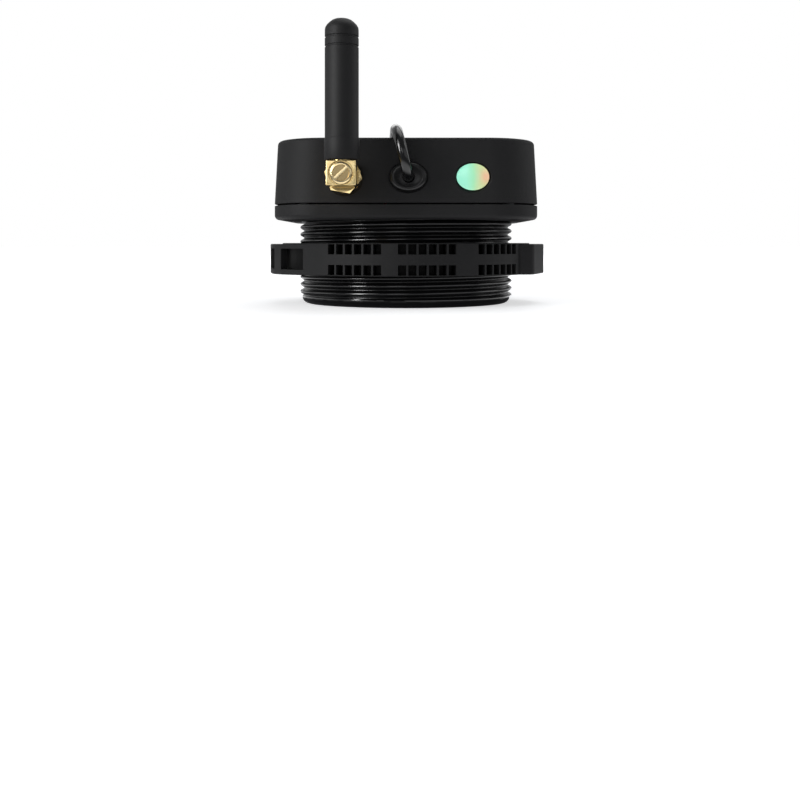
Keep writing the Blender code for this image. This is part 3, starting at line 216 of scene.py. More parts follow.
# %% Table
TABLE_SIZE = 6.0
NEAR_GLOW, FAR_GLOW = 0.56, 1.0
NEAR_REACH, FAR_REACH = 0.12, 0.75
RING_GLOW, RING_START, RING_BLEND, RING_FADE, RING_END = 1.4, 0.036, 0.014, 0.070, 0.120
bm = bmesh.new()
bmesh.ops.create_grid(bm, x_segments=1, y_segments=1, size=TABLE_SIZE / 2)
bmesh.ops.translate(bm, vec=(0.0, 0.0, TABLE_Z), verts=bm.verts)
table_mesh = bpy.data.meshes.new("table_top")
bm.to_mesh(table_mesh)
bm.free()
table = bpy.data.objects.new("table_top", table_mesh)
bpy.context.scene.collection.objects.link(table)

table_paint = bpy.data.materials.new("matt_white_board")
table_paint.use_nodes = True
tree = table_paint.node_tree
tree.nodes.clear()
rays = add_node(tree, "LightPath").outputs
place = add_node(tree, "TexCoord").outputs["Object"]
distance = add_node(tree, "VectorMath", {0: place}, operation="LENGTH").outputs["Value"]
glow = ramp(tree, distance, NEAR_REACH, FAR_REACH, NEAR_GLOW, FAR_GLOW, smooth=True)
watched = maths(tree, "MAXIMUM", rays["Is Camera Ray"], rays["Is Transmission Ray"])
to_camera = maths(tree, "MULTIPLY", glow, watched)
close_by = ramp(tree, distance, RING_FADE, RING_END, RING_GLOW, 0.0, smooth=True)
past_neck = ramp(tree, distance, RING_START, RING_START + RING_BLEND)
mirrored = maths(tree, "MULTIPLY", past_neck, rays["Is Glossy Ray"])
strength = maths(tree, "MULTIPLY_ADD", close_by, mirrored, to_camera)
board_colour = mixed(tree, rays["Is Glossy Ray"], linear("#e6e7e9"), linear("#8b8c8e"))
lit = add_node(tree, "BsdfDiffuse", {"Color": board_colour})
glowing = add_node(tree, "Emission", {"Color": linear("#ffffff"), "Strength": strength})
surface = add_node(tree, "AddShader", {0: lit, 1: glowing})
from_below = add_node(tree, "NewGeometry").outputs["Backfacing"]
hidden = maths(tree, "MAXIMUM", from_below, rays["Is Shadow Ray"])
clear = add_node(tree, "BsdfTransparent")
board = add_node(tree, "MixShader", {0: hidden, 1: surface, 2: clear})
add_node(tree, "OutputMaterial", {"Surface": board})
table_mesh.materials.append(table_paint)
table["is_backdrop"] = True
print("Table at", TABLE_Z / MM, "mm")

# %% [markdown]
# The key light stands front left, about fifty degrees round, because that is where the bright streaks on the
# thread and on the cable say it was. A strip inside it only draws those streaks. A wide dim box at the front
# right draws the dull ones, one at each side draws the round corners, one overhead lights the top, one
# behind lights the back, and a small card beside the camera is what the brass mirrors. Each is an area
# lamp, and the level that it gives a white surface is its watts over the square of pi times its distance,
# so that the sum stays below one.

# %% Soft boxes
AIM = Vector((0.0, -0.01, 0.02))


def softbox(name, azimuth, elevation, distance, width, height, watts, lights=True):
    """An area lamp on a sphere round the sensor. Azimuth 0 is in front, and 90 is on the right.

    One that doesn't light is only mirrored."""
    turn, rise = math.radians(azimuth), math.radians(elevation)
    away = Vector((math.sin(turn) * math.cos(rise), -math.cos(turn) * math.cos(rise), math.sin(rise)))
    lamp = bpy.data.lights.new(name, "AREA")
    lamp.shape = "RECTANGLE"
    lamp.size = width
    lamp.size_y = height
    lamp.energy = watts
    holder = bpy.data.objects.new(name, lamp)
    holder.location = AIM + away * distance
    holder.rotation_euler = (-away).to_track_quat("-Z", "Y").to_euler()
    holder.visible_diffuse = lights
    bpy.context.scene.collection.objects.link(holder)
    print(f"{name}: level {watts / (math.pi * distance) ** 2:.2f}")


softbox("key_box", -50.0, 30.0, 0.80, 0.40, 0.40, 1.8)
softbox("key_strip", -52.0, 14.0, 0.90, 0.20, 0.50, 5.4, lights=False)
softbox("dim_box", 47.0, 10.0, 0.80, 0.80, 0.50, 0.7)
softbox("brass_card", -10.0, 14.0, 0.90, 0.30, 0.30, 0.55)
softbox("left_box", -100.0, 18.0, 0.80, 0.40, 0.70, 0.8)
softbox("right_box", 100.0, 18.0, 0.80, 0.40, 0.70, 1.2)
softbox("top_box", 150.0, 72.0, 0.90, 0.70, 0.70, 2.4)
softbox("back_box", 180.0, 30.0, 1.00, 0.80, 0.40, 1.6)

# %% [markdown]
# ## How a finish starts
#
# Plastics, rubbers and metals differ in their numbers, but none is one flat colour. Each finish here starts
# in the same way: its colour wanders between two near codes over patches of a real size, and a fine relief
# of a second size catches the light. The numbers that are the same all over go on the shader's own sockets,
# because the exported model keeps only those.

# %% A finish with patches and grain
def start_finish(name, dark, pale, patch, grain, depth, **constants):
    """A material whose colour wanders between two codes. Patch, grain and its depth are in millimetres."""
    material = bpy.data.materials.new(name)
    material.use_nodes = True
    tree = material.node_tree
    shader = tree.nodes["Principled BSDF"]
    for socket, value in constants.items():
        shader.inputs[socket.replace("_", " ")].default_value = value
    place = add_node(tree, "TexCoord").outputs["Object"]
    patches = add_node(tree, "TexNoise", {"Vector": place, "Scale": 1 / (patch * MM), "Detail": 3.0})
    colour = mixed(tree, patches.outputs["Fac"], linear(dark), linear(pale))
    tree.links.new(colour, shader.inputs["Base Color"])
    grains = add_node(tree, "TexNoise", {"Vector": place, "Scale": 1 / (grain * MM), "Detail": 2.0})
    relief = add_node(tree, "Bump", {"Height": grains.outputs["Fac"], "Distance": depth * MM})
    tree.links.new(relief.outputs["Normal"], shader.inputs["Normal"])
    return material


# Extruded PVC: a glossy black skin with a faint long ripple, so that light runs along it in a streak
cord_pvc = start_finish("extruded_pvc_jacket", "#0b0b0c", "#101011", 3, 1.2, 0.004,
                        Roughness=0.17)
print("Cord finish:", cord_pvc.name)

# %% [markdown]
# ## Cord
#
# The cord is a metre of limp cable, just under three millimetres thick. It leaves the grommet, bends up over
# the top of the housing, hangs down behind it and ends in a tied coil on the table, with four bare cores for
# the terminals. A bevelled curve follows such a path better than a mesh. Automatic handles keep it smooth
# through points that are simply listed, first those of the free stretch and then those of the coil.

# %% Route up and over the housing
CORD_DIAMETER = 2.8 * MM
REST = TABLE_Z / MM + CORD_DIAMETER / MM / 2
CLEARANCE = 0.3
OVER = cover_high.z / MM + CORD_DIAMETER / MM / 2 + CLEARANCE
EXIT = Vector((0.6 * MM, grommet_low.y, FEATURE_Z))
free_route = [
    tuple(EXIT / MM), (0.5, -38.9, 32.6), (0.1, -41.7, 34.2), (-0.6, -42.9, 37.0), (-1.5, -42.2, 40.3),
    (-2.1, -39.4, 42.9), (-2.5, -35.4, OVER), (-2.7, -29.0, OVER), (-3.0, -16.0, OVER), (-2.9, 0.0, OVER),
    (-2.6, 16.0, OVER), (-2.4, 29.0, OVER), (-2.4, 35.8, 43.8), (-2.5, 40.2, 41.2), (-2.6, 43.2, 37.0),
    (-2.8, 44.2, 30.0), (-3.0, 44.2, 22.0), (-3.3, 44.0, 14.0), (-4.0, 43.7, 7.0), (-6.2, 43.8, 2.4),
    (-10.4, 45.2, REST), (-15.6, 49.4, REST), (-19.9, 56.0, REST), (-22.2, 63.0, REST + 0.3),
]
print("Points over the housing:", len(free_route))

# %% [markdown]
# The coil holds seven and a half turns. Wound by hand, the turns lie in three rows beside and on each other.
# A table of places says in which row and layer the strand lies, and it slides over from one to the next a
# little before each full turn, so that the strand never crosses itself in one place.

# %% Turns of the coil
COIL_PLACE = Vector((0.0, 70.0, 0.0))
INNER_RADIUS, LOWEST_TURN, STRAND = 14.0, 1.3, CORD_DIAMETER / MM
NESTS = ((2, 0), (1, 0), (0, 0), (0, 1), (0, 2), (1, 2), (1, 1), (2, 1), (2, 2))
NEST_SWEEP, SLIDE_SWEEP, TURN_STEP = 300.0, 60.0, 15.0
SWEEP = NEST_SWEEP * len(NESTS)
# The strand starts outside and below its first place, and swings out and down at the end
ENTRY_SWEEP, ENTRY_SWING, ENTRY_DROP = 55.0, 2.8, 0.6
EXIT_SWEEP, EXIT_SWING, EXIT_DROP = 68.0, 3.3, 6.2


def ease(share):
    """A soft start and stop: 0 to 1 along half a cosine."""
    share = min(1.0, max(0.0, share))
    return (1 - math.cos(math.pi * share)) / 2


def wound_place(wound):
    """Where the strand is after this many degrees, in millimetres."""
    radius = INNER_RADIUS + STRAND * NESTS[0][0]
    height = LOWEST_TURN + STRAND * NESTS[0][1]
    for index in range(1, len(NESTS)):
        share = ease((wound - NEST_SWEEP * index + 10.0) / SLIDE_SWEEP)
        radius += share * STRAND * (NESTS[index][0] - NESTS[index - 1][0])
        height += share * STRAND * (NESTS[index][1] - NESTS[index - 1][1])
    entry = 1 - ease(wound / ENTRY_SWEEP)
    radius += ENTRY_SWING * entry
    height -= ENTRY_DROP * entry
    out = (wound - SWEEP + EXIT_SWEEP) / EXIT_SWEEP
    radius += EXIT_SWING * ease(out / 0.6)
    height -= EXIT_DROP * ease((out - 0.25) / 0.75)
    turn = math.radians(180.0 - wound)
    return COIL_PLACE + Vector((radius * math.cos(turn), radius * math.sin(turn), height))


coil_route = [wound_place(TURN_STEP * step) for step in range(int(SWEEP / TURN_STEP) + 1)]
tail_route = [(22.7, 65.0, REST), (21.9, 60.5, REST), (20.6, 56.4, REST)]
cord_points = [Vector(point) * MM for point in [*free_route, *coil_route, *tail_route]]
print("Coil points:", len(coil_route), "straight-line length:",
      round(sum((b - a).length for a, b in zip(cord_points, cord_points[1:])), 3), "m")

# %% The cord's curve
def bent_curve(name, routes, radius, materials, resolution=4):
    """A round curve along each route. Each spline takes the material of its number."""
    data = bpy.data.curves.new(name, "CURVE")
    data.dimensions = "3D"
    data.bevel_depth = radius
    data.bevel_resolution = 5
    data.resolution_u = resolution
    data.use_fill_caps = True
    for index, (route, thickness) in enumerate(routes):
        spline = data.splines.new("BEZIER")
        spline.bezier_points.add(len(route) - 1)
        spline.material_index = index
        for knot, point in zip(spline.bezier_points, route):
            knot.co = point
            knot.radius = thickness
            knot.handle_left_type = knot.handle_right_type = "AUTO"
    for material in materials:
        data.materials.append(material)
    piece = bpy.data.objects.new(name, data)
    bpy.context.scene.collection.objects.link(piece)
    return piece


supply_cord = bent_curve("supply_cord", [(cord_points, 1.0)], CORD_DIAMETER / 2, [cord_pvc])
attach(supply_cord, "housing")
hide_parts("power_cable", "cable_coil", "cable_tail")

# %% [markdown]
# The four cores fan out of the jacket's end. Each has its coloured insulation and a short stripped tip,
# which is tinned so that its strands stay together. One curve holds both, as two splines with a material
# each.

# %% Cores
CORE_DIAMETER = 0.9 * MM
TIP_SHARE = 0.55
core_codes = {"red": ("#a8140f", "#b51a12"), "yellow": ("#d8a813", "#e2b41d"),
              "blue": ("#173f9c", "#1d4aae"), "black": ("#121213", "#18181a")}
# Dip-tinned copper strands: dull silver, with the strands still showing as a fine ripple
tinned = start_finish("dip_tinned_copper", "#b9bab6", "#d2d2cf", 0.4, 0.15, 0.02,
                      Metallic=1.0, Roughness=0.34)
jacket_end, before_end = Vector(tail_route[-1]) * MM, Vector(tail_route[-2]) * MM
along = (jacket_end - before_end).normalized()
across = Vector((0.0, 0.0, 1.0)).cross(along)
spread = CORE_DIAMETER / 2 + 0.15 * MM
floor = TABLE_Z + CORE_DIAMETER / 2
for index, (colour, codes) in enumerate(core_codes.items()):
    side = 1 if index % 2 else -1
    level = 1 if index < 2 else -1
    fan = side * (3.2 if level < 0 else 1.0) * MM
    start = jacket_end - along * 0.5 * MM + across * side * spread + Vector((0.0, 0.0, level * spread))
    knee = start + along * 4.0 * MM + across * fan * (0.45 if level < 0 else 0.1)
    rest = jacket_end + along * 8.0 * MM + across * (side * spread + fan)
    tip = jacket_end + along * 12.0 * MM + across * (side * spread + fan * 1.7)
    knee.z = (start.z + floor) / 2
    rest.z = tip.z = floor
    # Glossy coloured PVC, thin enough to look a little waxy
    insulation = start_finish(f"{colour}_core_pvc", *codes, 1.5, 0.5, 0.004, Roughness=0.38)
    stripped = rest.lerp(tip, 0.15)
    core = bent_curve(f"stripped_core_{colour}",
                      [([start, knee, rest, stripped], 1.0), ([rest, stripped, tip], TIP_SHARE)],
                      CORE_DIAMETER / 2, [insulation, tinned])
    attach(core, "housing")
    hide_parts(f"core_{colour}")

# %% [markdown]
# ## From mesh to piece
#
# Most hard pieces below are made in the same few steps: a block or a turned shape, its edges rounded by a
# bevel, and holes cut by a Boolean. Real moulded and machined edges are never sharp, and a rounded edge is
# what catches the light. These helpers do those steps.

# %% Blocks with round corners
def level_edges(bm, level):
    """The edges that lie at this height."""
    return [edge for edge in bm.edges if all(abs(vert.co.z - level) < 0.01 * MM for vert in edge.verts)]


def upright_edges(bm):
    """The edges that climb more than they run."""
    return [edge for edge in bm.edges
            if abs(edge.verts[0].co.z - edge.verts[1].co.z) > edge.calc_length() / 2]


def round_edges(bm, edges, width, segments=3):
    """Round off edges with a bevel of this width."""
    bmesh.ops.bevel(bm, geom=edges, offset=width, offset_type="OFFSET", affect="EDGES", segments=segments,
                    profile=0.5, material=-1, clamp_overlap=True)


def hard_edges(bm, above=30.0):
    """The edges at which two faces meet at more than an angle, in degrees."""
    bmesh.ops.recalc_face_normals(bm, faces=bm.faces)
    return [edge for edge in bm.edges if edge.is_manifold and edge.calc_face_angle() > math.radians(above)]


def block(width, depth, height, middle=(0.0, 0.0, 0.0)):
    """A plain block round its middle."""
    bm = bmesh.new()
    bmesh.ops.create_cube(bm, size=1.0)
    bmesh.ops.scale(bm, vec=(width, depth, height), verts=bm.verts)
    bmesh.ops.translate(bm, vec=middle, verts=bm.verts)
    return bm


def raised(outline, low, high):
    """A flat outline in plan, raised into a block."""
    bm = bmesh.new()
    face = bm.faces.new([bm.verts.new((point[0], point[1], low)) for point in outline])
    grown = bmesh.ops.extrude_face_region(bm, geom=[face])["geom"]
    bmesh.ops.translate(bm, vec=(0.0, 0.0, high - low),
                        verts=[item for item in grown if isinstance(item, bmesh.types.BMVert)])
    bmesh.ops.recalc_face_normals(bm, faces=bm.faces)
    return bm


def rounded_block(half, radius, low, high, lean=0.0, segments=16):
    """A square block with round upright corners. Its walls lean in by an angle."""
    bm = block(2 * half, 2 * half, high - low, (0.0, 0.0, (low + high) / 2))
    upper = [vert for vert in bm.verts if vert.co.z > (low + high) / 2]
    shrink = 1 - (high - low) * math.tan(lean) / half
    bmesh.ops.scale(bm, vec=(shrink, shrink, 1.0), verts=upper)
    round_edges(bm, upright_edges(bm), radius, segments)
    return bm


# %% Turned shapes
def sweep_round(bm, profile, steps, turns=1, climb=0.0, closed=False):
    """Spin points of radius and height round Z, climbing a little at each step if the shape is a helix."""
    verts = [bm.verts.new((radius, 0.0, height)) for radius, height in profile]
    pairs = [pair for pair in zip(verts, verts[1:]) if max(pair[0].co.x, pair[1].co.x) > 0]
    if closed:
        pairs.append((verts[-1], verts[0]))
    edges = [bm.edges.new(pair) for pair in pairs]
    bmesh.ops.spin(bm, geom=verts + edges, cent=(0.0, 0.0, 0.0), axis=(0.0, 0.0, 1.0),
                   dvec=(0.0, 0.0, climb), angle=math.tau * turns, steps=steps * turns,
                   use_merge=climb == 0.0, use_normal_flip=False, use_duplicate=False)


def spun(profile, steps=64, place=Matrix.Identity(4), stretch=1.0):
    """A turned shape: points of radius and height, spun once round Z, widened along X and put in place.

    A profile that starts or ends away from the axis is closed, and gives a ring."""
    bm = bmesh.new()
    sweep_round(bm, profile, steps, closed=profile[0][0] > 0 or profile[-1][0] > 0)
    bmesh.ops.remove_doubles(bm, verts=bm.verts, dist=0.001 * MM)
    bmesh.ops.scale(bm, vec=(stretch, 1.0, 1.0), verts=bm.verts)
    bmesh.ops.transform(bm, matrix=place, verts=bm.verts)
    bmesh.ops.recalc_face_normals(bm, faces=bm.faces)
    return bm


def bar_profile(radius, low, high):
    """The profile of a round bar, mostly used to cut a hole."""
    return [(0.0, low), (radius, low), (radius, high), (0.0, high)]


def at_wall(x):
    """A place on the front wall, with Z out of the wall and Y up."""
    return Matrix.Translation((x, FACE_Y, FEATURE_Z)) @ Matrix.Rotation(math.pi / 2, 4, "X")


# %% Joining and cutting
def as_mesh(bm, name):
    """Move a bmesh into a mesh of Blender's own."""
    mesh = bpy.data.meshes.new(name)
    bm.to_mesh(mesh)
    bm.free()
    return mesh


def fitted(bm, *tools, operation="DIFFERENCE"):
    """The mesh with each tool cut out of it, fused with it or kept where they overlap, by a Boolean."""
    blank = bpy.data.objects.new("blank", as_mesh(bm, "blank"))
    bpy.context.scene.collection.objects.link(blank)
    helpers = [blank]
    for tool in tools:
        bmesh.ops.recalc_face_normals(tool, faces=tool.faces)
        helper = bpy.data.objects.new("tool", as_mesh(tool, "tool"))
        bpy.context.scene.collection.objects.link(helper)
        helpers.append(helper)
        step = blank.modifiers.new("step", "BOOLEAN")
        step.operation = operation
        step.solver = "EXACT"
        step.object = helper
    view = bpy.context.evaluated_depsgraph_get()
    made = bpy.data.meshes.new_from_object(blank.evaluated_get(view), depsgraph=view)
    result = bmesh.new()
    result.from_mesh(made)
    for helper in helpers:
        spent = helper.data
        bpy.data.objects.remove(helper, do_unlink=True)
        bpy.data.meshes.remove(spent)
    bpy.data.meshes.remove(made)
    return result


def laid_in(bm, other):
    """Add another closed mesh to this one as it is."""
    bm.from_mesh(as_mesh(other, "laid_in"))
    return bm


# %% [markdown]
# A finished mesh is closed, its faces turned outwards and its soft edges shaded smooth, while edges that
# stay sharp are marked. Weighted normals keep the large flat faces flat up to their narrow bevels. Then the
# piece is bound to the body that it moves with, and hides the plain solid that it stands for.

# %% Finishing a piece
made_pieces = {}


def make_piece(name, bm, material, body, slot, *stands_for, sharp=40.0, weighted=True):
    """Turn a bmesh into a finished piece that rides on its body."""
    bmesh.ops.remove_doubles(bm, verts=bm.verts, dist=0.001 * MM)
    bmesh.ops.recalc_face_normals(bm, faces=bm.faces)
    open_edges = sum(1 for edge in bm.edges if not edge.is_manifold)
    mesh = as_mesh(bm, name)
    mesh.materials.append(material)
    mesh.shade_smooth()
    mesh.set_sharp_from_angle(angle=math.radians(sharp))
    piece = bpy.data.objects.new(name, mesh)
    bpy.context.scene.collection.objects.link(piece)
    if weighted:
        keep = piece.modifiers.new("flat_faces", "WEIGHTED_NORMAL")
        keep.keep_sharp = True
    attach(piece, body)
    if stands_for:
        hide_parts(*stands_for)
    made_pieces[name] = piece
    print(f"{name}: {len(mesh.polygons)} faces, {open_edges} open edges")
    return piece


# %% [markdown]
# ## Upper cover
#
# The cover is one moulding of black ABS. Its mould was eroded by sparks, which leaves an even fine grain and
# makes it matt. The walls lean in so that it comes out of the mould, and all edges are round. A block with
# leaning walls, a deep bevel on the upright edges and a small one on the top gives that shape at once.

# %% Finish of the housing
# Spark-eroded ABS: nearly black, and matt, with soft pale edges where light grazes it. The real grain is
# about 0.05 mm, too fine to show, so it is drawn at 0.35 mm
housing_abs = start_finish("spark_eroded_abs", "#1b1b1c", "#202021", 6, 0.35, 0.012,
                           Roughness=0.62, Specular_IOR_Level=0.2)

# %% Outer shell of the cover
TOP_ROUND = 1.0 * MM
SEAM_ROUND = 0.15 * MM
cover = rounded_block(HOUSING_HALF, CORNER_RADIUS, cover_low.z, cover_high.z, COVER_DRAFT, 20)
round_edges(cover, level_edges(cover, cover_high.z), TOP_ROUND, 5)
round_edges(cover, level_edges(cover, cover_low.z), SEAM_ROUND, 2)
print("Cover faces before it is cut:", len(cover.faces))

# %% [markdown]
# The front wall has three openings. The ones of the aerial and of the cable have a shallow round seat, which
# gives their flange a flat place on the leaning wall, and its edge is broken by a small chamfer.

# %% Hollow and openings
SCREW_PLACE = 26.5 * MM
PILLAR_RADIUS = 3.3 * MM
SCREW_RADIUS = 1.45 * MM
GAP = 0.3 * MM
SEAT_DEPTH = 0.4 * MM
SEAT_CHAMFER = 0.18 * MM
JACK_SEAT, JACK_RADIUS = 4.5 * MM, 3.475 * MM
GROMMET_PLAY, GROMMET_WAIST = 0.2 * MM, 0.85 * MM
LENS_WIDTH, LENS_HEIGHT = 8.3 * MM, 6.8 * MM
PILOT_TOP = UNDERSIDE_Z + 14.6 * MM
AERIAL_X = (sleeve_low.x + sleeve_high.x) / 2
CABLE_X = (grommet_low.x + grommet_high.x) / 2
LIGHT_X = (lens_low.x + lens_high.x) / 2


def seat(radius, hole):
    """Profile of a cutter: a through hole behind a shallow seat with a broken edge."""
    return [(0.0, -2 * WALL), (hole, -2 * WALL), (hole, -SEAT_DEPTH), (radius, -SEAT_DEPTH),
            (radius, -SEAT_CHAMFER), (radius + 2 * SEAT_CHAMFER, SEAT_CHAMFER),
            (radius + 2 * SEAT_CHAMFER, WALL), (0.0, WALL)]


def at_corners(profile, steps, place=SCREW_PLACE):
    """A turned shape at each corner of the housing."""
    return [spun(profile, steps, Matrix.Translation((x, y, 0.0)))
            for x in (-place, place) for y in (-place, place)]


hollow = rounded_block(HOUSING_HALF - WALL, CORNER_RADIUS - WALL, cover_low.z - WALL, cover_high.z - WALL,
                       COVER_DRAFT)
hollow = fitted(hollow, *at_corners(bar_profile(PILLAR_RADIUS, cover_low.z - 2 * WALL, cover_high.z), 32))
pilots = at_corners(bar_profile(SCREW_RADIUS + GAP, cover_low.z - WALL, PILOT_TOP), 20)
grommet_tall = grommet_high.z - grommet_low.z
grommet_stretch = (grommet_high.x - grommet_low.x) / grommet_tall
grommet_seat = seat(grommet_tall / 2 + GROMMET_PLAY, grommet_tall / 2 - GROMMET_WAIST)
lens_stretch = LENS_WIDTH / LENS_HEIGHT
lens_hole = LENS_HEIGHT / 2 + GAP
lens_mouth = lens_hole + 2 * SEAT_CHAMFER
lens_opening = [(0.0, -2 * WALL), (lens_hole, -2 * WALL), (lens_hole, -SEAT_CHAMFER),
                (lens_mouth, SEAT_CHAMFER), (lens_mouth, WALL), (0.0, WALL)]
cover = fitted(cover, hollow, *pilots,
               spun(seat(JACK_SEAT, JACK_RADIUS), 72, at_wall(AERIAL_X)),
               spun(grommet_seat, 72, at_wall(CABLE_X), grommet_stretch),
               spun(lens_opening, 72, at_wall(LIGHT_X), lens_stretch))
make_piece("moulded_cover", cover, housing_abs, "housing", "housing_abs", "upper_cover")

# %% [markdown]
# ## Lower shell and neck
#
# The lower shell and the threaded neck are one moulding. The shell is the same block, low and upright, with
# a rounded lower edge that draws a pale line in the light. The neck stands in a bore. Its thread is a helix
# with an even pitch, made by spinning one ridge's outline many times round while it climbs.

# %% Shell with its wells
BASE_ROUND = 1.2 * MM
BASE_FLOOR = 2.2 * MM
FLOOR_Z = UNDERSIDE_Z + BASE_FLOOR
NECK_BORE = 26.0 * MM
BOARD_POST_PLACE = 21.5 * MM
BOARD_Z = FLOOR_Z + 4.0 * MM
SCREW_SEAT = UNDERSIDE_Z + 2.0 * MM
WELL_MOUTH, WELL_RADIUS = 3.1 * MM, 2.9 * MM
POST_RADIUS, POST_BORE, POST_ROOT = 2.2 * MM, 0.85 * MM + GAP, 0.5 * MM
GROOVE_OUTSIDE, GROOVE_INSIDE, GROOVE_DEPTH = 0.6 * MM, 2.0 * MM, 0.8 * MM
shell = rounded_block(HOUSING_HALF, CORNER_RADIUS, UNDERSIDE_Z, BASE_TOP_Z, 0.0, 20)
round_edges(shell, level_edges(shell, UNDERSIDE_Z), BASE_ROUND, 6)
round_edges(shell, level_edges(shell, BASE_TOP_Z), SEAM_ROUND, 2)
well = fitted(rounded_block(HOUSING_HALF - WALL, CORNER_RADIUS - WALL, FLOOR_Z, BASE_TOP_Z + WALL),
              *at_corners(bar_profile(PILLAR_RADIUS, FLOOR_Z - WALL, BASE_TOP_Z + 2 * WALL), 32))
groove = fitted(rounded_block(HOUSING_HALF - GROOVE_OUTSIDE, CORNER_RADIUS - GROOVE_OUTSIDE,
                              BASE_TOP_Z - GROOVE_DEPTH, BASE_TOP_Z + WALL),
                rounded_block(HOUSING_HALF - GROOVE_INSIDE, CORNER_RADIUS - GROOVE_INSIDE,
                              BASE_TOP_Z - WALL, BASE_TOP_Z + 2 * WALL))
well_profile = [(0.0, UNDERSIDE_Z - WALL), (WELL_MOUTH, UNDERSIDE_Z - WALL),
                (WELL_MOUTH, UNDERSIDE_Z - 0.1 * MM), (WELL_RADIUS, UNDERSIDE_Z + 0.15 * MM),
                (WELL_RADIUS, SCREW_SEAT), (SCREW_RADIUS + GAP, SCREW_SEAT),
                (SCREW_RADIUS + GAP, BASE_TOP_Z + WALL), (0.0, BASE_TOP_Z + WALL)]
post_profile = [(POST_BORE, FLOOR_Z - POST_ROOT), (POST_RADIUS, FLOOR_Z - POST_ROOT),
                (POST_RADIUS, BOARD_Z - GAP), (POST_BORE, BOARD_Z - GAP)]
neck_bore = spun(bar_profile(NECK_BORE, UNDERSIDE_Z - WALL, BASE_TOP_Z + WALL), 96)
shell = fitted(shell, well, groove, neck_bore, *at_corners(well_profile, 40))
for post in at_corners(post_profile, 24, BOARD_POST_PLACE):
    shell = laid_in(shell, post)
print("Shell faces:", len(shell.faces))

# %% Thread by a climbing spin
THREAD_PITCH = 2.0 * MM
THREAD_TURNS, THREAD_STEPS = 14, 96
THREAD_START, THREAD_FOOT = -2.8 * MM, 1.2 * MM
ridge = [(28.95, -1.0), (29.0, -0.86), (29.64, -0.5), (29.79, -0.41), (29.9, -0.3), (29.97, -0.16),
         (30.0, 0.0), (29.97, 0.16), (29.9, 0.3), (29.79, 0.41), (29.64, 0.5), (29.0, 0.86), (28.95, 1.0)]
neck = bmesh.new()
sweep_round(neck, [(radius * MM, THREAD_START + height * MM) for radius, height in ridge],
            THREAD_STEPS, THREAD_TURNS, THREAD_PITCH / THREAD_STEPS)
bmesh.ops.remove_doubles(neck, verts=neck.verts, dist=0.02 * MM)
NECK_TOP = UNDERSIDE_Z + 0.6 * MM
for height, upward in ((THREAD_FOOT, False), (NECK_TOP, True)):
    bmesh.ops.bisect_plane(neck, geom=[*neck.verts, *neck.edges, *neck.faces], dist=0.0001 * MM,
                           plane_co=(0.0, 0.0, height), plane_no=(0.0, 0.0, 1.0),
                           clear_outer=upward, clear_inner=not upward)
print("Thread faces:", len(neck.faces))

# %% [markdown]
# Below the thread a smooth band runs into a round rim, and inside it a lip holds the sensing face. That part
# is turned, and two bridges join it to the cut ends of the thread.

# %% Rim, bore and bridges
BAND_RADIUS = 29.4 * MM
RIM_ROUND = 1.8 * MM
LIP_BORE = 24.4 * MM
LIP_TOP = TABLE_Z + 1.7 * MM
LIP_CHAMFER = 0.3 * MM
BRIDGE_REACH = 3.0 * MM
arc = [(BAND_RADIUS - RIM_ROUND * (1 - math.cos(turn)), TABLE_Z + RIM_ROUND * (1 - math.sin(turn)))
       for turn in [math.pi / 2 * step / 8 for step in range(9)]]
rim_profile = [(BAND_RADIUS, THREAD_FOOT - 0.15 * MM), *arc, (LIP_BORE + LIP_CHAMFER, TABLE_Z),
               (LIP_BORE, TABLE_Z + LIP_CHAMFER), (LIP_BORE, LIP_TOP), (NECK_BORE, LIP_TOP),
               (NECK_BORE, NECK_TOP)]
sweep_round(neck, rim_profile, THREAD_STEPS)
bmesh.ops.remove_doubles(neck, verts=neck.verts, dist=0.001 * MM)
for middle in (0.0, UNDERSIDE_Z):
    loops = [edge for edge in neck.edges
             if edge.is_boundary and all(abs(vert.co.z - middle) < BRIDGE_REACH for vert in edge.verts)]
    bmesh.ops.bridge_loops(neck, edges=loops)
    print("Bridged", len(loops), "open edges near", round(middle / MM, 1), "mm")

# %% Shell and neck as one piece
# The neck's own moulding is polished, so its crests flash, while the shell above is spark-eroded
neck_abs = start_finish("polished_mould_abs", "#0c0c0d", "#111112", 6, 0.5, 0.002,
                        Roughness=0.16)
for face in neck.faces:
    face.material_index = 1
base = laid_in(shell, neck)
base_piece = make_piece("moulded_base", base, housing_abs, "housing", "housing_abs", "base_housing",
                        sharp=50.0)
base_piece.data.materials.append(neck_abs)
print("Polished faces:", sum(1 for polygon in base_piece.data.polygons if polygon.material_index == 1))

# %% [markdown]
# ## Lock nut
#
# The nut is moulded from glass-filled nylon, with rows of short ribs for the fingers and two hollow ears for
# a wrench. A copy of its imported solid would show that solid's flats in the light. So the ring is turned
# afresh in many more steps, and each ear is raised from its outline in plan, with rounded corners.

# %% Ring and ears
NUT_RADIUS, NUT_BORE, NUT_STEPS = 35.0 * MM, 30.35 * MM, 180
NUT_HEIGHT = nut_high.z - nut_low.z
PAINTED_SHADE_REACH, PAINTED_SHADE_END, PAINTED_SHADE_SHARE = 33.6 * MM, 34.9 * MM, 0.06
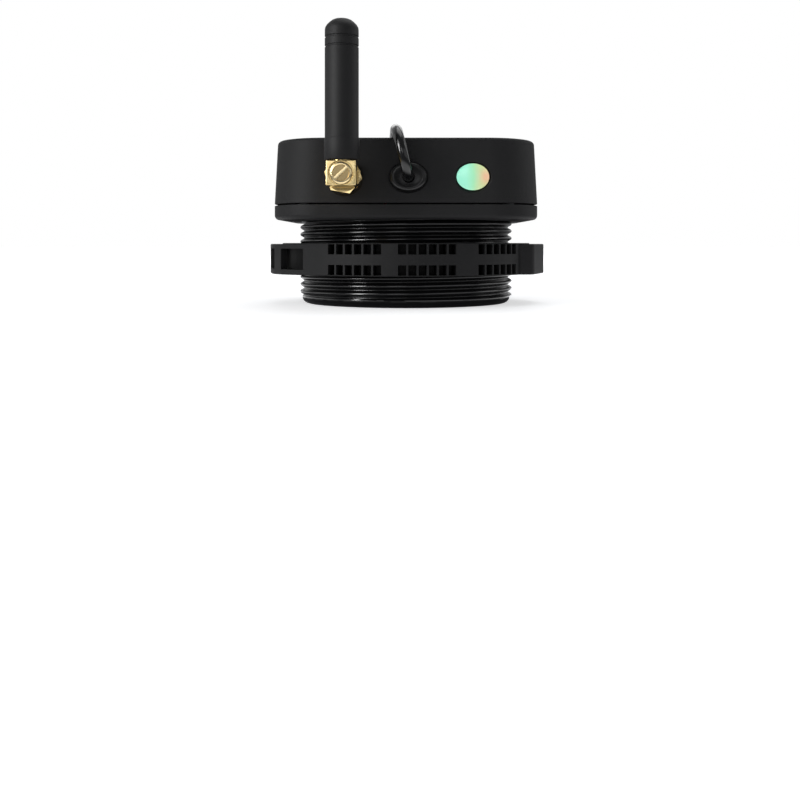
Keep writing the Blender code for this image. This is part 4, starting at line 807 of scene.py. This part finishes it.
# Glass-filled nylon: close to the housing in tone, with a coarser matt skin where fibres lie. In the slots and
# pockets its colour sinks as painted shade, by its distance from the axis
nut_nylon = start_finish("glass_filled_nylon", "#1b1b1c", "#222223", 2.5, 0.45, 0.012,
                         Roughness=0.6, Specular_IOR_Level=0.16)
tree = nut_nylon.node_tree
shader = tree.nodes["Principled BSDF"]
place = add_node(tree, "TexCoord").outputs["Object"]
sides = add_node(tree, "SeparateXYZ", {0: place}).outputs
in_plan = add_node(tree, "CombineXYZ", {"X": sides["X"], "Y": sides["Y"]})
reach = add_node(tree, "VectorMath", {0: in_plan}, operation="LENGTH").outputs["Value"]
# Painted shade: the colour sinks inside the ring's outer skin, but not near the top and bottom faces
outside = ramp(tree, reach, PAINTED_SHADE_REACH, PAINTED_SHADE_END, PAINTED_SHADE_SHARE)
from_middle = maths(tree, "SUBTRACT", sides["Z"], (nut_low.z + nut_high.z) / 2)
off_middle = maths(tree, "ABSOLUTE", from_middle)
on_ends = maths(tree, "GREATER_THAN", off_middle, NUT_HEIGHT / 2 - 0.25 * MM)
share_left_by_painted_shade = maths(tree, "MAXIMUM", outside, on_ends)
skin = shader.inputs["Base Color"].links[0].from_socket
tree.links.new(mixed(tree, 1.0, skin, share_left_by_painted_shade, "MULTIPLY"), shader.inputs["Base Color"])
NUT_ANGLE = math.radians(10.2)
NUT_TURN = Matrix.Translation((0.0, 0.0, nut_low.z)) @ Matrix.Rotation(NUT_ANGLE, 4, "Z")
NUT_ROUND, EAR_ROUND, EAR_EDGE, EAR_STEP = 0.2 * MM, 0.8 * MM, 0.35 * MM, 0.25 * MM
# Each corner of an ear: the millimetres that it stands past the ring, and the degrees round it
EAR = ((0.0, -41.1), (3.2, -35.8), (4.1, -14.0), (3.35, -5.0), (3.35, 6.0), (3.1, 9.4), (2.5, 15.8),
       (0.0, 36.9), (-6.0, 32.0), (-6.0, -32.0))


def nut_outline(points, start=0.0):
    """Points in plan, from how far they stand past the ring and how many degrees round they are."""
    return [((NUT_RADIUS + stand * MM) * math.cos(math.radians(angle + start)),
             (NUT_RADIUS + stand * MM) * math.sin(math.radians(angle + start))) for stand, angle in points]


nut = spun([(NUT_BORE, 0.0), (NUT_RADIUS - NUT_ROUND, 0.0), (NUT_RADIUS, NUT_ROUND),
            (NUT_RADIUS, NUT_HEIGHT - NUT_ROUND), (NUT_RADIUS - NUT_ROUND, NUT_HEIGHT),
            (NUT_BORE, NUT_HEIGHT)], NUT_STEPS)
ears = []
for start in (0.0, 180.0):
    ear = raised(nut_outline(EAR, start), 0.0, NUT_HEIGHT - EAR_STEP)
    round_edges(ear, upright_edges(ear), EAR_ROUND, 4)
    for level in (0.0, NUT_HEIGHT - EAR_STEP):
        round_edges(ear, level_edges(ear, level), EAR_EDGE, 3)
    ears.append(ear)
nut = fitted(nut, *ears, operation="UNION")
print("Nut faces with its ears:", len(nut.faces))

# %% [markdown]
# Each ear is hollow between two plates, open on its long flank and its end, with a post left standing in the
# opening. The slots between the ribs come in groups of six, in one row above and one below a plain band. All
# of these are blocks raised from outlines, and one Boolean takes each kind away.

# %% Pockets and slots
POCKET = ((1.5, 30.6), (-2.4, 27.5), (-2.4, 14.2), (-2.4, 0.0), (-1.2, -13.6), (5.7, -11.3), (5.7, 10.1),
          (3.1, 9.4), (1.1, 8.8), (0.5, 14.9), (2.5, 15.8), (5.7, 17.3))
LOWER_PLATE, UPPER_PLATE = 1.4 * MM, 1.5 * MM
SLOTS_IN_GROUP, SLOT_GROUPS = 6, (-122.8, -91.2, -55.9)
SLOT_PITCH, SLOT_ANGLE, SLOT_DEPTH, SLOT_PAST = 4.25, 3.4, 2.9, 1.0
SLOT_ROWS = ((0.3 * MM, 2.9 * MM), (NUT_HEIGHT - 2.9 * MM, NUT_HEIGHT - 0.3 * MM))
NUT_EDGE = 0.15 * MM
pockets, slots = bmesh.new(), bmesh.new()
for start in (0.0, 180.0):
    pockets = laid_in(pockets, raised(nut_outline(POCKET, start), LOWER_PLATE, NUT_HEIGHT - UPPER_PLATE))
    for middle in [group + SLOT_PITCH * (slot - (SLOTS_IN_GROUP - 1) / 2)
                   for group in SLOT_GROUPS for slot in range(SLOTS_IN_GROUP)]:
        left, right = middle - SLOT_ANGLE / 2, middle + SLOT_ANGLE / 2
        corners = [(-SLOT_DEPTH, left), (SLOT_PAST, left), (SLOT_PAST, right), (-SLOT_DEPTH, right)]
        for low, high in SLOT_ROWS:
            slots = laid_in(slots, raised(nut_outline(corners, start), low, high))
nut = fitted(nut, spun(bar_profile(NUT_BORE, -1 * MM, NUT_HEIGHT + 1 * MM), NUT_STEPS), pockets, slots)
bmesh.ops.remove_doubles(nut, verts=nut.verts, dist=0.01 * MM)
bmesh.ops.dissolve_limit(nut, angle_limit=math.radians(0.5), use_dissolve_boundaries=False,
                         verts=nut.verts, edges=nut.edges)
bmesh.ops.transform(nut, matrix=NUT_TURN, verts=nut.verts)
nut_piece = make_piece("moulded_lock_nut", nut, nut_nylon, "lock_nut", "nut_nylon", "lock_nut", sharp=30.0,
                       weighted=False)
edge = nut_piece.modifiers.new("moulded_edge", "BEVEL")
edge.width = NUT_EDGE
edge.segments = 2
edge.limit_method = "ANGLE"
edge.angle_limit = math.radians(40.0)
edge.use_clamp_overlap = True
nut_flat = nut_piece.modifiers.new("flat_faces", "WEIGHTED_NORMAL")
nut_flat.keep_sharp = False

# %% [markdown]
# ## Aerial
#
# The aerial is a wound wire in a moulded elastomer sleeve, on a right-angle connector of plated brass. The
# sleeve's foot is a little wider, two grooves ring it near the top, and its tip is a flat dome. A turned
# profile has all of that.

# %% Sleeve
# Moulded elastomer: black and satin, smoother than the housing, so its sides pick up a broad soft sheen
sleeve_tpe = start_finish("moulded_elastomer", "#161617", "#1b1b1c", 5, 0.4, 0.006,
                          Roughness=0.58, Specular_IOR_Level=0.26)
SLEEVE_RADIUS = 4.075 * MM
FOOT_RADIUS = 4.275 * MM
FOOT_TOP = sleeve_low.z + 5.2 * MM
BORE_RADIUS = 2.9 * MM
SLEEVE_TOP = sleeve_high.z
sleeve_axis = Matrix.Translation((AERIAL_X, (sleeve_low.y + sleeve_high.y) / 2, 0.0))
profile = [(BORE_RADIUS, sleeve_low.z), (FOOT_RADIUS - 0.35 * MM, sleeve_low.z),
           (FOOT_RADIUS - 0.1 * MM, sleeve_low.z + 0.08 * MM), (FOOT_RADIUS, sleeve_low.z + 0.35 * MM),
           (FOOT_RADIUS, FOOT_TOP - 0.15 * MM), (FOOT_RADIUS - 0.05 * MM, FOOT_TOP),
           (SLEEVE_RADIUS, FOOT_TOP + 0.3 * MM)]
for depth in (6.7 * MM, 4.5 * MM):
    middle = SLEEVE_TOP - depth
    profile += [(SLEEVE_RADIUS, middle - 0.27 * MM), (SLEEVE_RADIUS - 0.2 * MM, middle - 0.13 * MM),
                (SLEEVE_RADIUS - 0.2 * MM, middle + 0.13 * MM), (SLEEVE_RADIUS, middle + 0.27 * MM)]
profile += [(radius * MM, SLEEVE_TOP - drop * MM) for radius, drop in
            ((4.07, 2.7), (3.98, 2.15), (3.6, 1.5), (2.95, 0.85), (2.35, 0.38), (1.75, 0.12), (0.0, 0.0))]
profile += [(0.0, SLEEVE_TOP - 3.4 * MM), (BORE_RADIUS, SLEEVE_TOP - 3.4 * MM)]
make_piece("moulded_sleeve", spun(profile, 72, sleeve_axis), sleeve_tpe, "antenna", "aerial_sleeve",
           "antenna_sleeve", sharp=50.0, weighted=False)

# %% [markdown]
# The elbow is milled from bar and plated, with bright broken edges. A slotted cap closes the hole through
# which its contact is soldered: a flat ring with a bar across a shallow dish. Behind it sits the hex nut
# that draws the aerial onto the jack.

# %% Elbow
# Machined and plated brass: pale gold, mirror-like but softened by fine tool marks, and a little darker
# where it has tarnished
brass = start_finish("machined_plated_brass", "#d8b878", "#f1deaa", 1.3, 0.35, 0.0016,
                     Metallic=1.0, Roughness=0.2)
elbow_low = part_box("antenna_elbow")[0]
ELBOW_WIDTH, ELBOW_HEIGHT, ELBOW_DEPTH = 7.1 * MM, 5.9 * MM, 8.1 * MM
ELBOW_FRONT = FACE_Y - elbow_low.y
ELBOW_MIDDLE = ELBOW_FRONT - ELBOW_DEPTH / 2
INNER_END = 4.2 * MM
COUPLING_LIP_END = 5.1 * MM
SPIGOT_RADIUS, SPIGOT_END = 2.6 * MM, ELBOW_HEIGHT / 2 + 3.4 * MM
FLANGE_RADIUS, FERRULE_RADIUS, ELBOW_BORE = 3.1 * MM, 2.45 * MM, 1.5 * MM
AERIAL_REACH = FACE_Y - (sleeve_low.y + sleeve_high.y) / 2
wall_place = at_wall(AERIAL_X)
elbow = block(ELBOW_WIDTH, ELBOW_HEIGHT, ELBOW_DEPTH, (0.0, 0.0, ELBOW_MIDDLE))
round_edges(elbow, hard_edges(elbow), 0.22 * MM, 3)
spigot = spun(bar_profile(SPIGOT_RADIUS, 0.0, SPIGOT_END), 48,
              Matrix.Translation((0.0, 0.0, AERIAL_REACH)) @ Matrix.Rotation(-math.pi / 2, 4, "X"))
ferrule = spun([(0.0, INNER_END), (FLANGE_RADIUS, INNER_END), (FLANGE_RADIUS, COUPLING_LIP_END),
                (FERRULE_RADIUS, COUPLING_LIP_END), (FERRULE_RADIUS, ELBOW_MIDDLE), (0.0, ELBOW_MIDDLE)], 48)
elbow = fitted(elbow, spigot, ferrule, operation="UNION")
CAP_RADIUS = 2.7 * MM
CAP_HOLE, CAP_MOUTH, CAP_DEPTH = CAP_RADIUS + 0.25 * MM, CAP_RADIUS + 0.4 * MM, 1.0 * MM
elbow = fitted(elbow, spun(bar_profile(ELBOW_BORE, INNER_END - WALL, AERIAL_REACH), 32),
               spun([(0.0, ELBOW_FRONT - CAP_DEPTH), (CAP_HOLE, ELBOW_FRONT - CAP_DEPTH),
                     (CAP_HOLE, ELBOW_FRONT - 0.12 * MM), (CAP_MOUTH, ELBOW_FRONT + 0.05 * MM),
                     (CAP_MOUTH, ELBOW_FRONT + WALL), (0.0, ELBOW_FRONT + WALL)], 64))
bmesh.ops.transform(elbow, matrix=wall_place, verts=elbow.verts)
make_piece("milled_elbow", elbow, brass, "antenna", "brass_plate", "antenna_elbow", sharp=35.0)

# %% Cap with its ring and bar
CAP_LOW = ELBOW_FRONT - 0.7 * MM
DISH_RADIUS, DISH_FLOOR = CAP_RADIUS - 0.75 * MM, ELBOW_FRONT - 0.3 * MM
BAR_WIDTH, BAR_HEIGHT, BAR_ANGLE = 0.85 * MM, 0.6 * MM, math.radians(43.0)
cap = spun([(0.0, CAP_LOW), (CAP_RADIUS, CAP_LOW), (CAP_RADIUS, ELBOW_FRONT - 0.26 * MM),
            (CAP_RADIUS - 0.32 * MM, ELBOW_FRONT - 0.06 * MM), (CAP_RADIUS - 0.42 * MM, ELBOW_FRONT),
            (DISH_RADIUS + 0.08 * MM, ELBOW_FRONT),
            (DISH_RADIUS, ELBOW_FRONT - 0.08 * MM), (DISH_RADIUS - 0.05 * MM, DISH_FLOOR),
            (0.0, DISH_FLOOR)], 72)
bar = block(2 * DISH_RADIUS + 0.3 * MM, BAR_WIDTH, BAR_HEIGHT, (0.0, 0.0, ELBOW_FRONT - 0.35 * MM))
round_edges(bar, hard_edges(bar), 0.16 * MM, 3)
bmesh.ops.rotate(bar, cent=(0.0, 0.0, 0.0), matrix=Matrix.Rotation(BAR_ANGLE, 3, "Z"), verts=bar.verts)
cap = fitted(cap, bar, operation="UNION")
bmesh.ops.transform(cap, matrix=wall_place, verts=cap.verts)
# The same brass, paler on the ring and the bar as a painted highlight, and dull brown in the dish as painted
# shade
cap_brass_painted_light = start_finish("plated_brass_painted_light", "#e8cf98", "#f8e6ba", 1.3, 0.35, 0.0016,
                            Metallic=1.0, Roughness=0.24)
tree = cap_brass_painted_light.node_tree
shader = tree.nodes["Principled BSDF"]
place = add_node(tree, "TexCoord").outputs["Object"]
sides = add_node(tree, "SeparateXYZ", {0: place}).outputs
cap_front = FACE_Y - ELBOW_FRONT
# Painted highlight on the ring and bar, which keep the paler colour, and painted shade in the dish, mixed
# towards dull brown
painted_dish_shade = ramp(tree, sides["Y"], cap_front + 0.02 * MM, cap_front + 0.26 * MM)
painted_highlight_colour = shader.inputs["Base Color"].links[0].from_socket
tree.links.new(mixed(tree, painted_dish_shade, painted_highlight_colour, linear("#a38f68")), shader.inputs["Base Color"])
make_piece("slotted_cap", cap, cap_brass_painted_light, "antenna", "brass_plate", "elbow_cap", sharp=35.0)


# %% Hex nut with chamfered corners
def hex_bar(flats, low, high, turn):
    """A six-sided bar of this size across its flats, with its first corner turned this far from +X."""
    angles = [turn + math.radians(60 * corner) for corner in range(6)]
    reach = flats / math.sqrt(3)
    return raised([(reach * math.cos(angle), reach * math.sin(angle)) for angle in angles], low, high)


COUPLING_BACK, COUPLING_FRONT, COUPLING_FLATS = 1.2 * MM, 6.2 * MM, 8.2 * MM
COUPLING_ANGLE, COUPLING_CHAMFER, PAST = math.radians(-10.0), 0.4 * MM, 0.01 * MM
hex_nut = hex_bar(COUPLING_FLATS, COUPLING_BACK, COUPLING_FRONT, COUPLING_ANGLE)
half_flats, half_corners = COUPLING_FLATS / 2, COUPLING_FLATS / math.sqrt(3) + 0.05 * MM
barrel = spun([(0.0, COUPLING_BACK - PAST), (half_flats, COUPLING_BACK - PAST),
               (half_corners, COUPLING_BACK + COUPLING_CHAMFER),
               (half_corners, COUPLING_FRONT - COUPLING_CHAMFER), (half_flats, COUPLING_FRONT + PAST),
               (0.0, COUPLING_FRONT + PAST)], 72)
hex_nut = fitted(hex_nut, barrel, operation="INTERSECT")
LIP_RADIUS, LIP_START, BORE_END = 2.75 * MM, 5.4 * MM, 8.0 * MM
hex_nut = fitted(hex_nut, spun([(0.0, 0.0), (JACK_RADIUS, 0.0), (JACK_RADIUS, LIP_START),
                                (LIP_RADIUS, LIP_START), (LIP_RADIUS, BORE_END), (0.0, BORE_END)], 48))
bmesh.ops.transform(hex_nut, matrix=wall_place, verts=hex_nut.verts)
make_piece("hex_coupling", hex_nut, brass, "coupling_nut", "brass_plate", "coupling_nut", sharp=25.0)

# %% [markdown]
# ## Grommet and light window
#
# The grommet is an oval rubber button that snaps into the front wall. Its rim bulges round a shallow disc,
# in whose hole the cable sits with a little play. The light window beside it is a low dome of clear plastic
# over a light of two colours.

# %% Grommet
# Moulded rubber: black and slightly glossy, with a soft highlight round its edge
grommet_rubber = start_finish("moulded_rubber", "#0e0e0f", "#131314", 3, 0.4, 0.004,
                              Roughness=0.3, Specular_IOR_Level=0.4)
GROMMET_STAND = FACE_Y - grommet_low.y
BARB_HEIGHT, BARB_EDGE, WAIST_INSET = 1.1 * MM, 0.55 * MM, 1.15 * MM
BULGE, CORD_PLAY = 0.7 * MM, 0.15 * MM
edge_radius = grommet_tall / 2
inner_face = -WALL - GAP - 0.19 * MM
profile = [(0.0, inner_face - BARB_HEIGHT), (edge_radius - 0.6 * MM, inner_face - BARB_HEIGHT),
           (edge_radius, inner_face - BARB_EDGE), (edge_radius, inner_face),
           (edge_radius - WAIST_INSET, inner_face), (edge_radius - WAIST_INSET, -0.1 * MM),
           (edge_radius, -0.1 * MM)]
for step in range(10):
    turn = math.radians(13.0 * step)
    profile.append((edge_radius - BULGE * (1 - math.cos(turn)),
                    GROMMET_STAND - BULGE * (1 - math.sin(turn))))
profile += [(edge_radius - 1.45 * MM, GROMMET_STAND - 0.2 * MM),
            (edge_radius - 2.0 * MM, GROMMET_STAND - 0.26 * MM), (0.0, GROMMET_STAND - 0.28 * MM)]
grommet = spun(profile, 72, at_wall(CABLE_X), grommet_stretch)
cord_hole = bar_profile(CORD_DIAMETER / 2 + CORD_PLAY, inner_face - 2 * WALL, WALL)
grommet = fitted(grommet, spun(cord_hole, 40, at_wall(CABLE_X)))
make_piece("oval_grommet", grommet, grommet_rubber, "housing", "grommet_rubber", "cable_grommet",
           weighted=False)

# %% [markdown]
# The window looks green on the left and orange at the right, with yellow-green above and below the orange,
# because two lights shine into it side by side. A gradient from left to right, and a second colour away from
# mid-height, give that, and a weak glow of the same colours makes it look lit.

# %% Light window
light_lens = start_finish("clear_polycarbonate", "#c8f4e4", "#c8f4e4", 4, 0.5, 0.002,
                          Roughness=0.12, Emission_Strength=0.4)
tree = light_lens.node_tree
shader = tree.nodes["Principled BSDF"]
place = add_node(tree, "TexCoord").outputs["Object"]
centred = add_node(tree, "Mapping",
                   {"Vector": place, "Location": (-LIGHT_X, -FACE_Y, -FEATURE_Z)})
sides = add_node(tree, "SeparateXYZ", {0: centred}).outputs
from_left = ramp(tree, sides["X"], -4.2 * MM, 4.2 * MM)
left_to_right = add_node(tree, "ValToRGB", {0: from_left})
stops = left_to_right.color_ramp.elements
stops[0].position, stops[0].color = 0.0, linear("#a3f7da")
stops[1].position, stops[1].color = 1.0, linear("#e9c09a")
for position, code in ((0.3, "#a6f6d6"), (0.52, "#a9ecbe"), (0.68, "#cfdcae"), (0.85, "#efbf98")):
    stops.new(position).color = linear(code)
off_level = maths(tree, "ABSOLUTE", sides["Z"])
above_below = ramp(tree, off_level, 0.4 * MM, 3.0 * MM, 0.0, 0.9)
rightward = ramp(tree, sides["X"], -0.5 * MM, 2.5 * MM)
far_corners = maths(tree, "MULTIPLY", above_below, rightward)
lens_colour = mixed(tree, far_corners, left_to_right, linear("#c6e6a4"))
# Behind the wall the window's edge is in the dark, so that no ring of light shows in the gap
outside = ramp(tree, sides["Y"], 0.05 * MM, 0.25 * MM, 1.0, 0.02)
shown = mixed(tree, 1.0, lens_colour, outside, "MULTIPLY")
tree.links.new(shown, shader.inputs["Base Color"])
tree.links.new(shown, shader.inputs["Emission Color"])
edge_radius = LENS_HEIGHT / 2
LENS_RIM, DOME_HEIGHT = 0.9 * MM, 0.5 * MM
profile = [(0.0, inner_face - LENS_RIM), (edge_radius + LENS_RIM, inner_face - LENS_RIM),
           (edge_radius + LENS_RIM, inner_face), (edge_radius, inner_face), (edge_radius, -GAP)]
for step in range(1, 9):
    turn = math.pi / 2 * step / 8
    profile.append((edge_radius * math.cos(turn) if step < 8 else 0.0, DOME_HEIGHT * math.sin(turn)))
make_piece("domed_window", spun(profile, 72, at_wall(LIGHT_X), lens_stretch), light_lens, "housing",
           "light_lens", "led_window", weighted=False)

# %% [markdown]
# ## Underside
#
# Four screws clamp the shells from below. Each is a pan head with a cross drive, turned and then cut with
# two crossed blocks. The sensing face is a disc of glass-bubble epoxy in an aluminium cup, and a rubber ring
# holds the cup in the neck, so that the housing doesn't ring with it.

# %% Cover screws
# Zinc-plated steel: silvery and satin with a faint blue, brushed round by the turning
screw_steel = start_finish("zinc_plated_steel", "#9a9da1", "#b4b6b9", 1.2, 0.3, 0.01,
                           Metallic=1.0, Roughness=0.33)
HEAD_RADIUS, HEAD_HEIGHT = 2.6 * MM, 1.4 * MM
CROSS_LENGTH, CROSS_WIDTH, CROSS_DEPTH = 2.8 * MM, 0.6 * MM, 1.6 * MM
SHANK_LENGTH, TIP_LENGTH = 10.5 * MM, 12.0 * MM
head_seat = SCREW_SEAT - GAP
head_face = head_seat - HEAD_HEIGHT
screw_profile = [(0.0, head_face), (1.3 * MM, head_face + 0.03 * MM), (2.1 * MM, head_face + 0.18 * MM),
                 (2.5 * MM, head_face + 0.55 * MM), (HEAD_RADIUS, head_seat - HEAD_HEIGHT / 2),
                 (HEAD_RADIUS, head_seat), (SCREW_RADIUS, head_seat),
                 (SCREW_RADIUS, head_seat + SHANK_LENGTH), (0.0, head_seat + TIP_LENGTH)]
for index, (x, y) in enumerate([(1, 1), (-1, 1), (-1, -1), (1, -1)], 1):
    crossed = [block(width, depth, CROSS_DEPTH, (0.0, 0.0, head_face))
               for width, depth in ((CROSS_LENGTH, CROSS_WIDTH), (CROSS_WIDTH, CROSS_LENGTH))]
    screw = fitted(spun(screw_profile, 40), *crossed)
    bmesh.ops.translate(screw, vec=(x * SCREW_PLACE, y * SCREW_PLACE, 0.0), verts=screw.verts)
    make_piece(f"pan_head_screw_{index}", screw, screw_steel, "housing", "screw_steel",
               f"cover_screw_{index}", sharp=35.0)

# %% Sensing face
# Clear-anodised aluminium: a soft grey metal with a fine turned grain
cup_aluminium = start_finish("anodised_aluminium", "#8d9093", "#9da0a3", 2, 0.25, 0.008,
                             Metallic=1.0, Roughness=0.42)
# Epoxy full of glass bubbles: an off-white matt face, finely speckled. The bubbles are 0.05 mm, drawn at 0.3
matching_epoxy = start_finish("glass_bubble_epoxy", "#bdb9ab", "#d2cfc4", 0.6, 0.3, 0.02,
                              Roughness=0.72)
# Moulded silicone rubber: black and quite matt
seal_rubber = start_finish("moulded_silicone_rubber", "#161617", "#1c1c1d", 3, 0.4, 0.008,
                           Roughness=0.6, Specular_IOR_Level=0.35)
cup_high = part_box("transducer_cup")[1]
CUP_RADIUS = cup_high.x
CUP_INSIDE = CUP_RADIUS - 2 * MM
CUP_CHAMFER, CUP_EDGE, PLATE_EDGE = 0.1 * MM, 0.25 * MM, 0.15 * MM
PLATE_RADIUS, PLATE_HEIGHT = CUP_INSIDE - GAP, 3.5 * MM
RING_SKIRT, RING_TOP, RING_EDGE = 1.6 * MM, 13.0 * MM, 0.3 * MM
ring_inside, ring_outside = CUP_RADIUS + GAP, NECK_BORE - GAP
ring_skirt = ring_inside + RING_SKIRT
skirt_top = LIP_TOP + GAP
cup_profile = [(CUP_INSIDE, CUP_CHAMFER), (CUP_INSIDE + CUP_CHAMFER, 0.0), (CUP_RADIUS - CUP_EDGE, 0.0),
               (CUP_RADIUS, CUP_EDGE), (CUP_RADIUS, cup_high.z), (CUP_INSIDE, cup_high.z)]
plate_profile = [(0.0, 0.0), (PLATE_RADIUS - PLATE_EDGE, 0.0), (PLATE_RADIUS, PLATE_EDGE),
                 (PLATE_RADIUS, PLATE_HEIGHT), (0.0, PLATE_HEIGHT)]
ring_profile = [(ring_inside, RING_EDGE), (ring_inside + 0.5 * MM, 0.0), (ring_skirt - 0.5 * MM, 0.0),
                (ring_skirt, RING_EDGE), (ring_skirt, skirt_top), (ring_outside, skirt_top),
                (ring_outside, RING_TOP), (ring_inside, RING_TOP)]
for name, profile, material, slot, node in (
        ("turned_cup", cup_profile, cup_aluminium, "cup_aluminium", "transducer_cup"),
        ("cast_matching_layer", plate_profile, matching_epoxy, "matching_epoxy", "matching_layer"),
        ("isolation_skirt", ring_profile, seal_rubber, "seal_rubber", "isolation_ring")):
    make_piece(name, spun(profile, 96), material, "housing", slot, node, weighted=False)

# %% [markdown]
# ## Ties of the coil
#
# Two nylon ties hold the coil. Each is a strap closed round the strands, with a square head and a short end
# sticking out. The strap is a tube of four faces with rounded corners, solidified to its thickness.

# %% Two ties
# Moulded nylon: black with a satin skin
tie_nylon = start_finish("moulded_tie_nylon", "#141415", "#1a1a1b", 3, 0.4, 0.006,
                         Roughness=0.42)
TIE_WIDTH, TIE_THICKNESS = 2.6 * MM, 0.6 * MM
TIE_INSIDE, TIE_ROUND = 3 * CORD_DIAMETER + 0.6 * MM, 1.3 * MM
COIL_MIDDLE = (COIL_PLACE + Vector((0.0, 0.0, LOWEST_TURN + STRAND))) * MM
COIL_MEAN = (INNER_RADIUS + STRAND) * MM
for index, angle in enumerate((math.radians(75.0), math.radians(255.0)), 1):
    strap = block(TIE_INSIDE, TIE_WIDTH, TIE_INSIDE)
    round_edges(strap, [edge for edge in strap.edges
                        if abs(edge.verts[0].co.y - edge.verts[1].co.y) > TIE_WIDTH / 2], TIE_ROUND, 5)
    bmesh.ops.delete(strap, geom=[face for face in strap.faces if abs(face.normal.y) > 0.9], context="FACES")
    bmesh.ops.recalc_face_normals(strap, faces=strap.faces)
    bmesh.ops.solidify(strap, geom=strap.faces[:], thickness=-TIE_THICKNESS)
    head = block(3.4 * MM, 3.6 * MM, 2.2 * MM, (0.0, 0.0, TIE_INSIDE / 2 + 1.1 * MM))
    stub = block(0.6 * MM, TIE_WIDTH - 0.3 * MM, 2.0 * MM, (0.9 * MM, 0.0, TIE_INSIDE / 2 + 2.6 * MM))
    for part in (head, stub):
        round_edges(part, hard_edges(part), 0.2 * MM, 2)
        strap = laid_in(strap, part)
    middle = COIL_MIDDLE + Vector((COIL_MEAN * math.cos(angle), COIL_MEAN * math.sin(angle), 0.0))
    bmesh.ops.transform(strap, matrix=Matrix.Translation(middle) @ Matrix.Rotation(angle, 4, "Z"),
                        verts=strap.verts)
    make_piece(f"nylon_tie_{index}", strap, tie_nylon, "housing", "tie_nylon",
                           f"cable_tie_{index}")

# %% [markdown]
# ## Pieces inside
#
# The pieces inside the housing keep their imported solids, because nobody sees them until the cover is off.
# They still get the finish of what they are made of, written on the material slots of their objects.

# %% Finishes of the inner pieces
def refinish(material, *nodes):
    """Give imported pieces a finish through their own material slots."""
    for node in nodes:
        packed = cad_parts[node]
        for own in packed.material_slots:
            own.link = "OBJECT"
            own.material = material


# Turned brass and gold plate keep their own tool marks
refinish(brass, "antenna_jack", "jack_nut")
refinish(start_finish("gold_plated_contact", "#e3b95f", "#f0cb7a", 1.5, 0.3, 0.004,
                      Metallic=1.0, Roughness=0.22), "contact_pin")
# Enamelled copper wire: a clear varnish deepens the copper's red
refinish(start_finish("enamelled_copper", "#b3592e", "#c46a3a", 2, 0.3, 0.004,
                      Metallic=1.0, Roughness=0.28, Coat_Weight=0.5, Coat_Roughness=0.1), "radiator_coil")
refinish(screw_steel, "jack_washer", *[f"board_screw_{index}" for index in range(1, 5)])
# Tinned steel sheet: pale and bright, with the soft mottling of hot tin
refinish(start_finish("tinned_steel_can", "#b9babb", "#d0d1d2", 1.8, 0.4, 0.008,
                      Metallic=1.0, Roughness=0.3), "radio_module")
refinish(start_finish("moulded_chip_epoxy", "#1a1a1b", "#222223", 0.8, 0.25, 0.008,
                      Roughness=0.55), "processor")
# Sintered ferrite: dark grey and dull, with a stony grain
refinish(start_finish("sintered_ferrite", "#2a2a2d", "#38383b", 0.9, 0.3, 0.02,
                      Roughness=0.6), "pulse_transformer")
refinish(start_finish("terminal_polyamide", "#1c6b37", "#22783f", 2, 0.4, 0.008,
                      Roughness=0.45), "terminal_block")
# Glass-epoxy board under green solder mask: glossy, with the weave of the glass showing faintly through
refinish(start_finish("green_solder_mask", "#0e5a30", "#146a3a", 1.2, 0.5, 0.006,
                      Roughness=0.32, Coat_Weight=0.4, Coat_Roughness=0.15), "main_board")
refinish(start_finish("white_polymer", "#dedbd2", "#eae8e1", 3, 0.5, 0.004,
                      Roughness=0.4), "status_led", "radiator_core", "contact_insulator")
refinish(start_finish("silvered_ceramic", "#c0beb9", "#d4d2cd", 1.0, 0.3, 0.01,
                      Metallic=0.9, Roughness=0.38), "piezo_disc")
refinish(start_finish("cast_elastomer_foam", "#47484a", "#57585a", 1.0, 0.5, 0.05,
                      Roughness=0.85), "backing_foam")
refinish(seal_rubber, "cover_seal")
refinish(cord_pvc, "inner_cable", "coax_lead")
refinish(nut_nylon, "clamp_ring")
for colour in ("red", "black"):
    refinish(bpy.data.materials[f"{colour}_core_pvc"], f"transducer_lead_{colour}")

# %% [markdown]
# ## Sizes at the end
#
# The dressed model should stay as large as the imported one, so the sizes of both are printed.

# %% Sizes
scene_box = [list(corner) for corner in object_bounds()]
for axis in range(3):
    packed_side = cad_box[1][axis] - cad_box[0][axis]
    dressed_side = scene_box[1][axis] - scene_box[0][axis]
    print("XYZ"[axis], f"packed {packed_side / MM:.2f} mm, dressed {dressed_side / MM:.2f} mm")
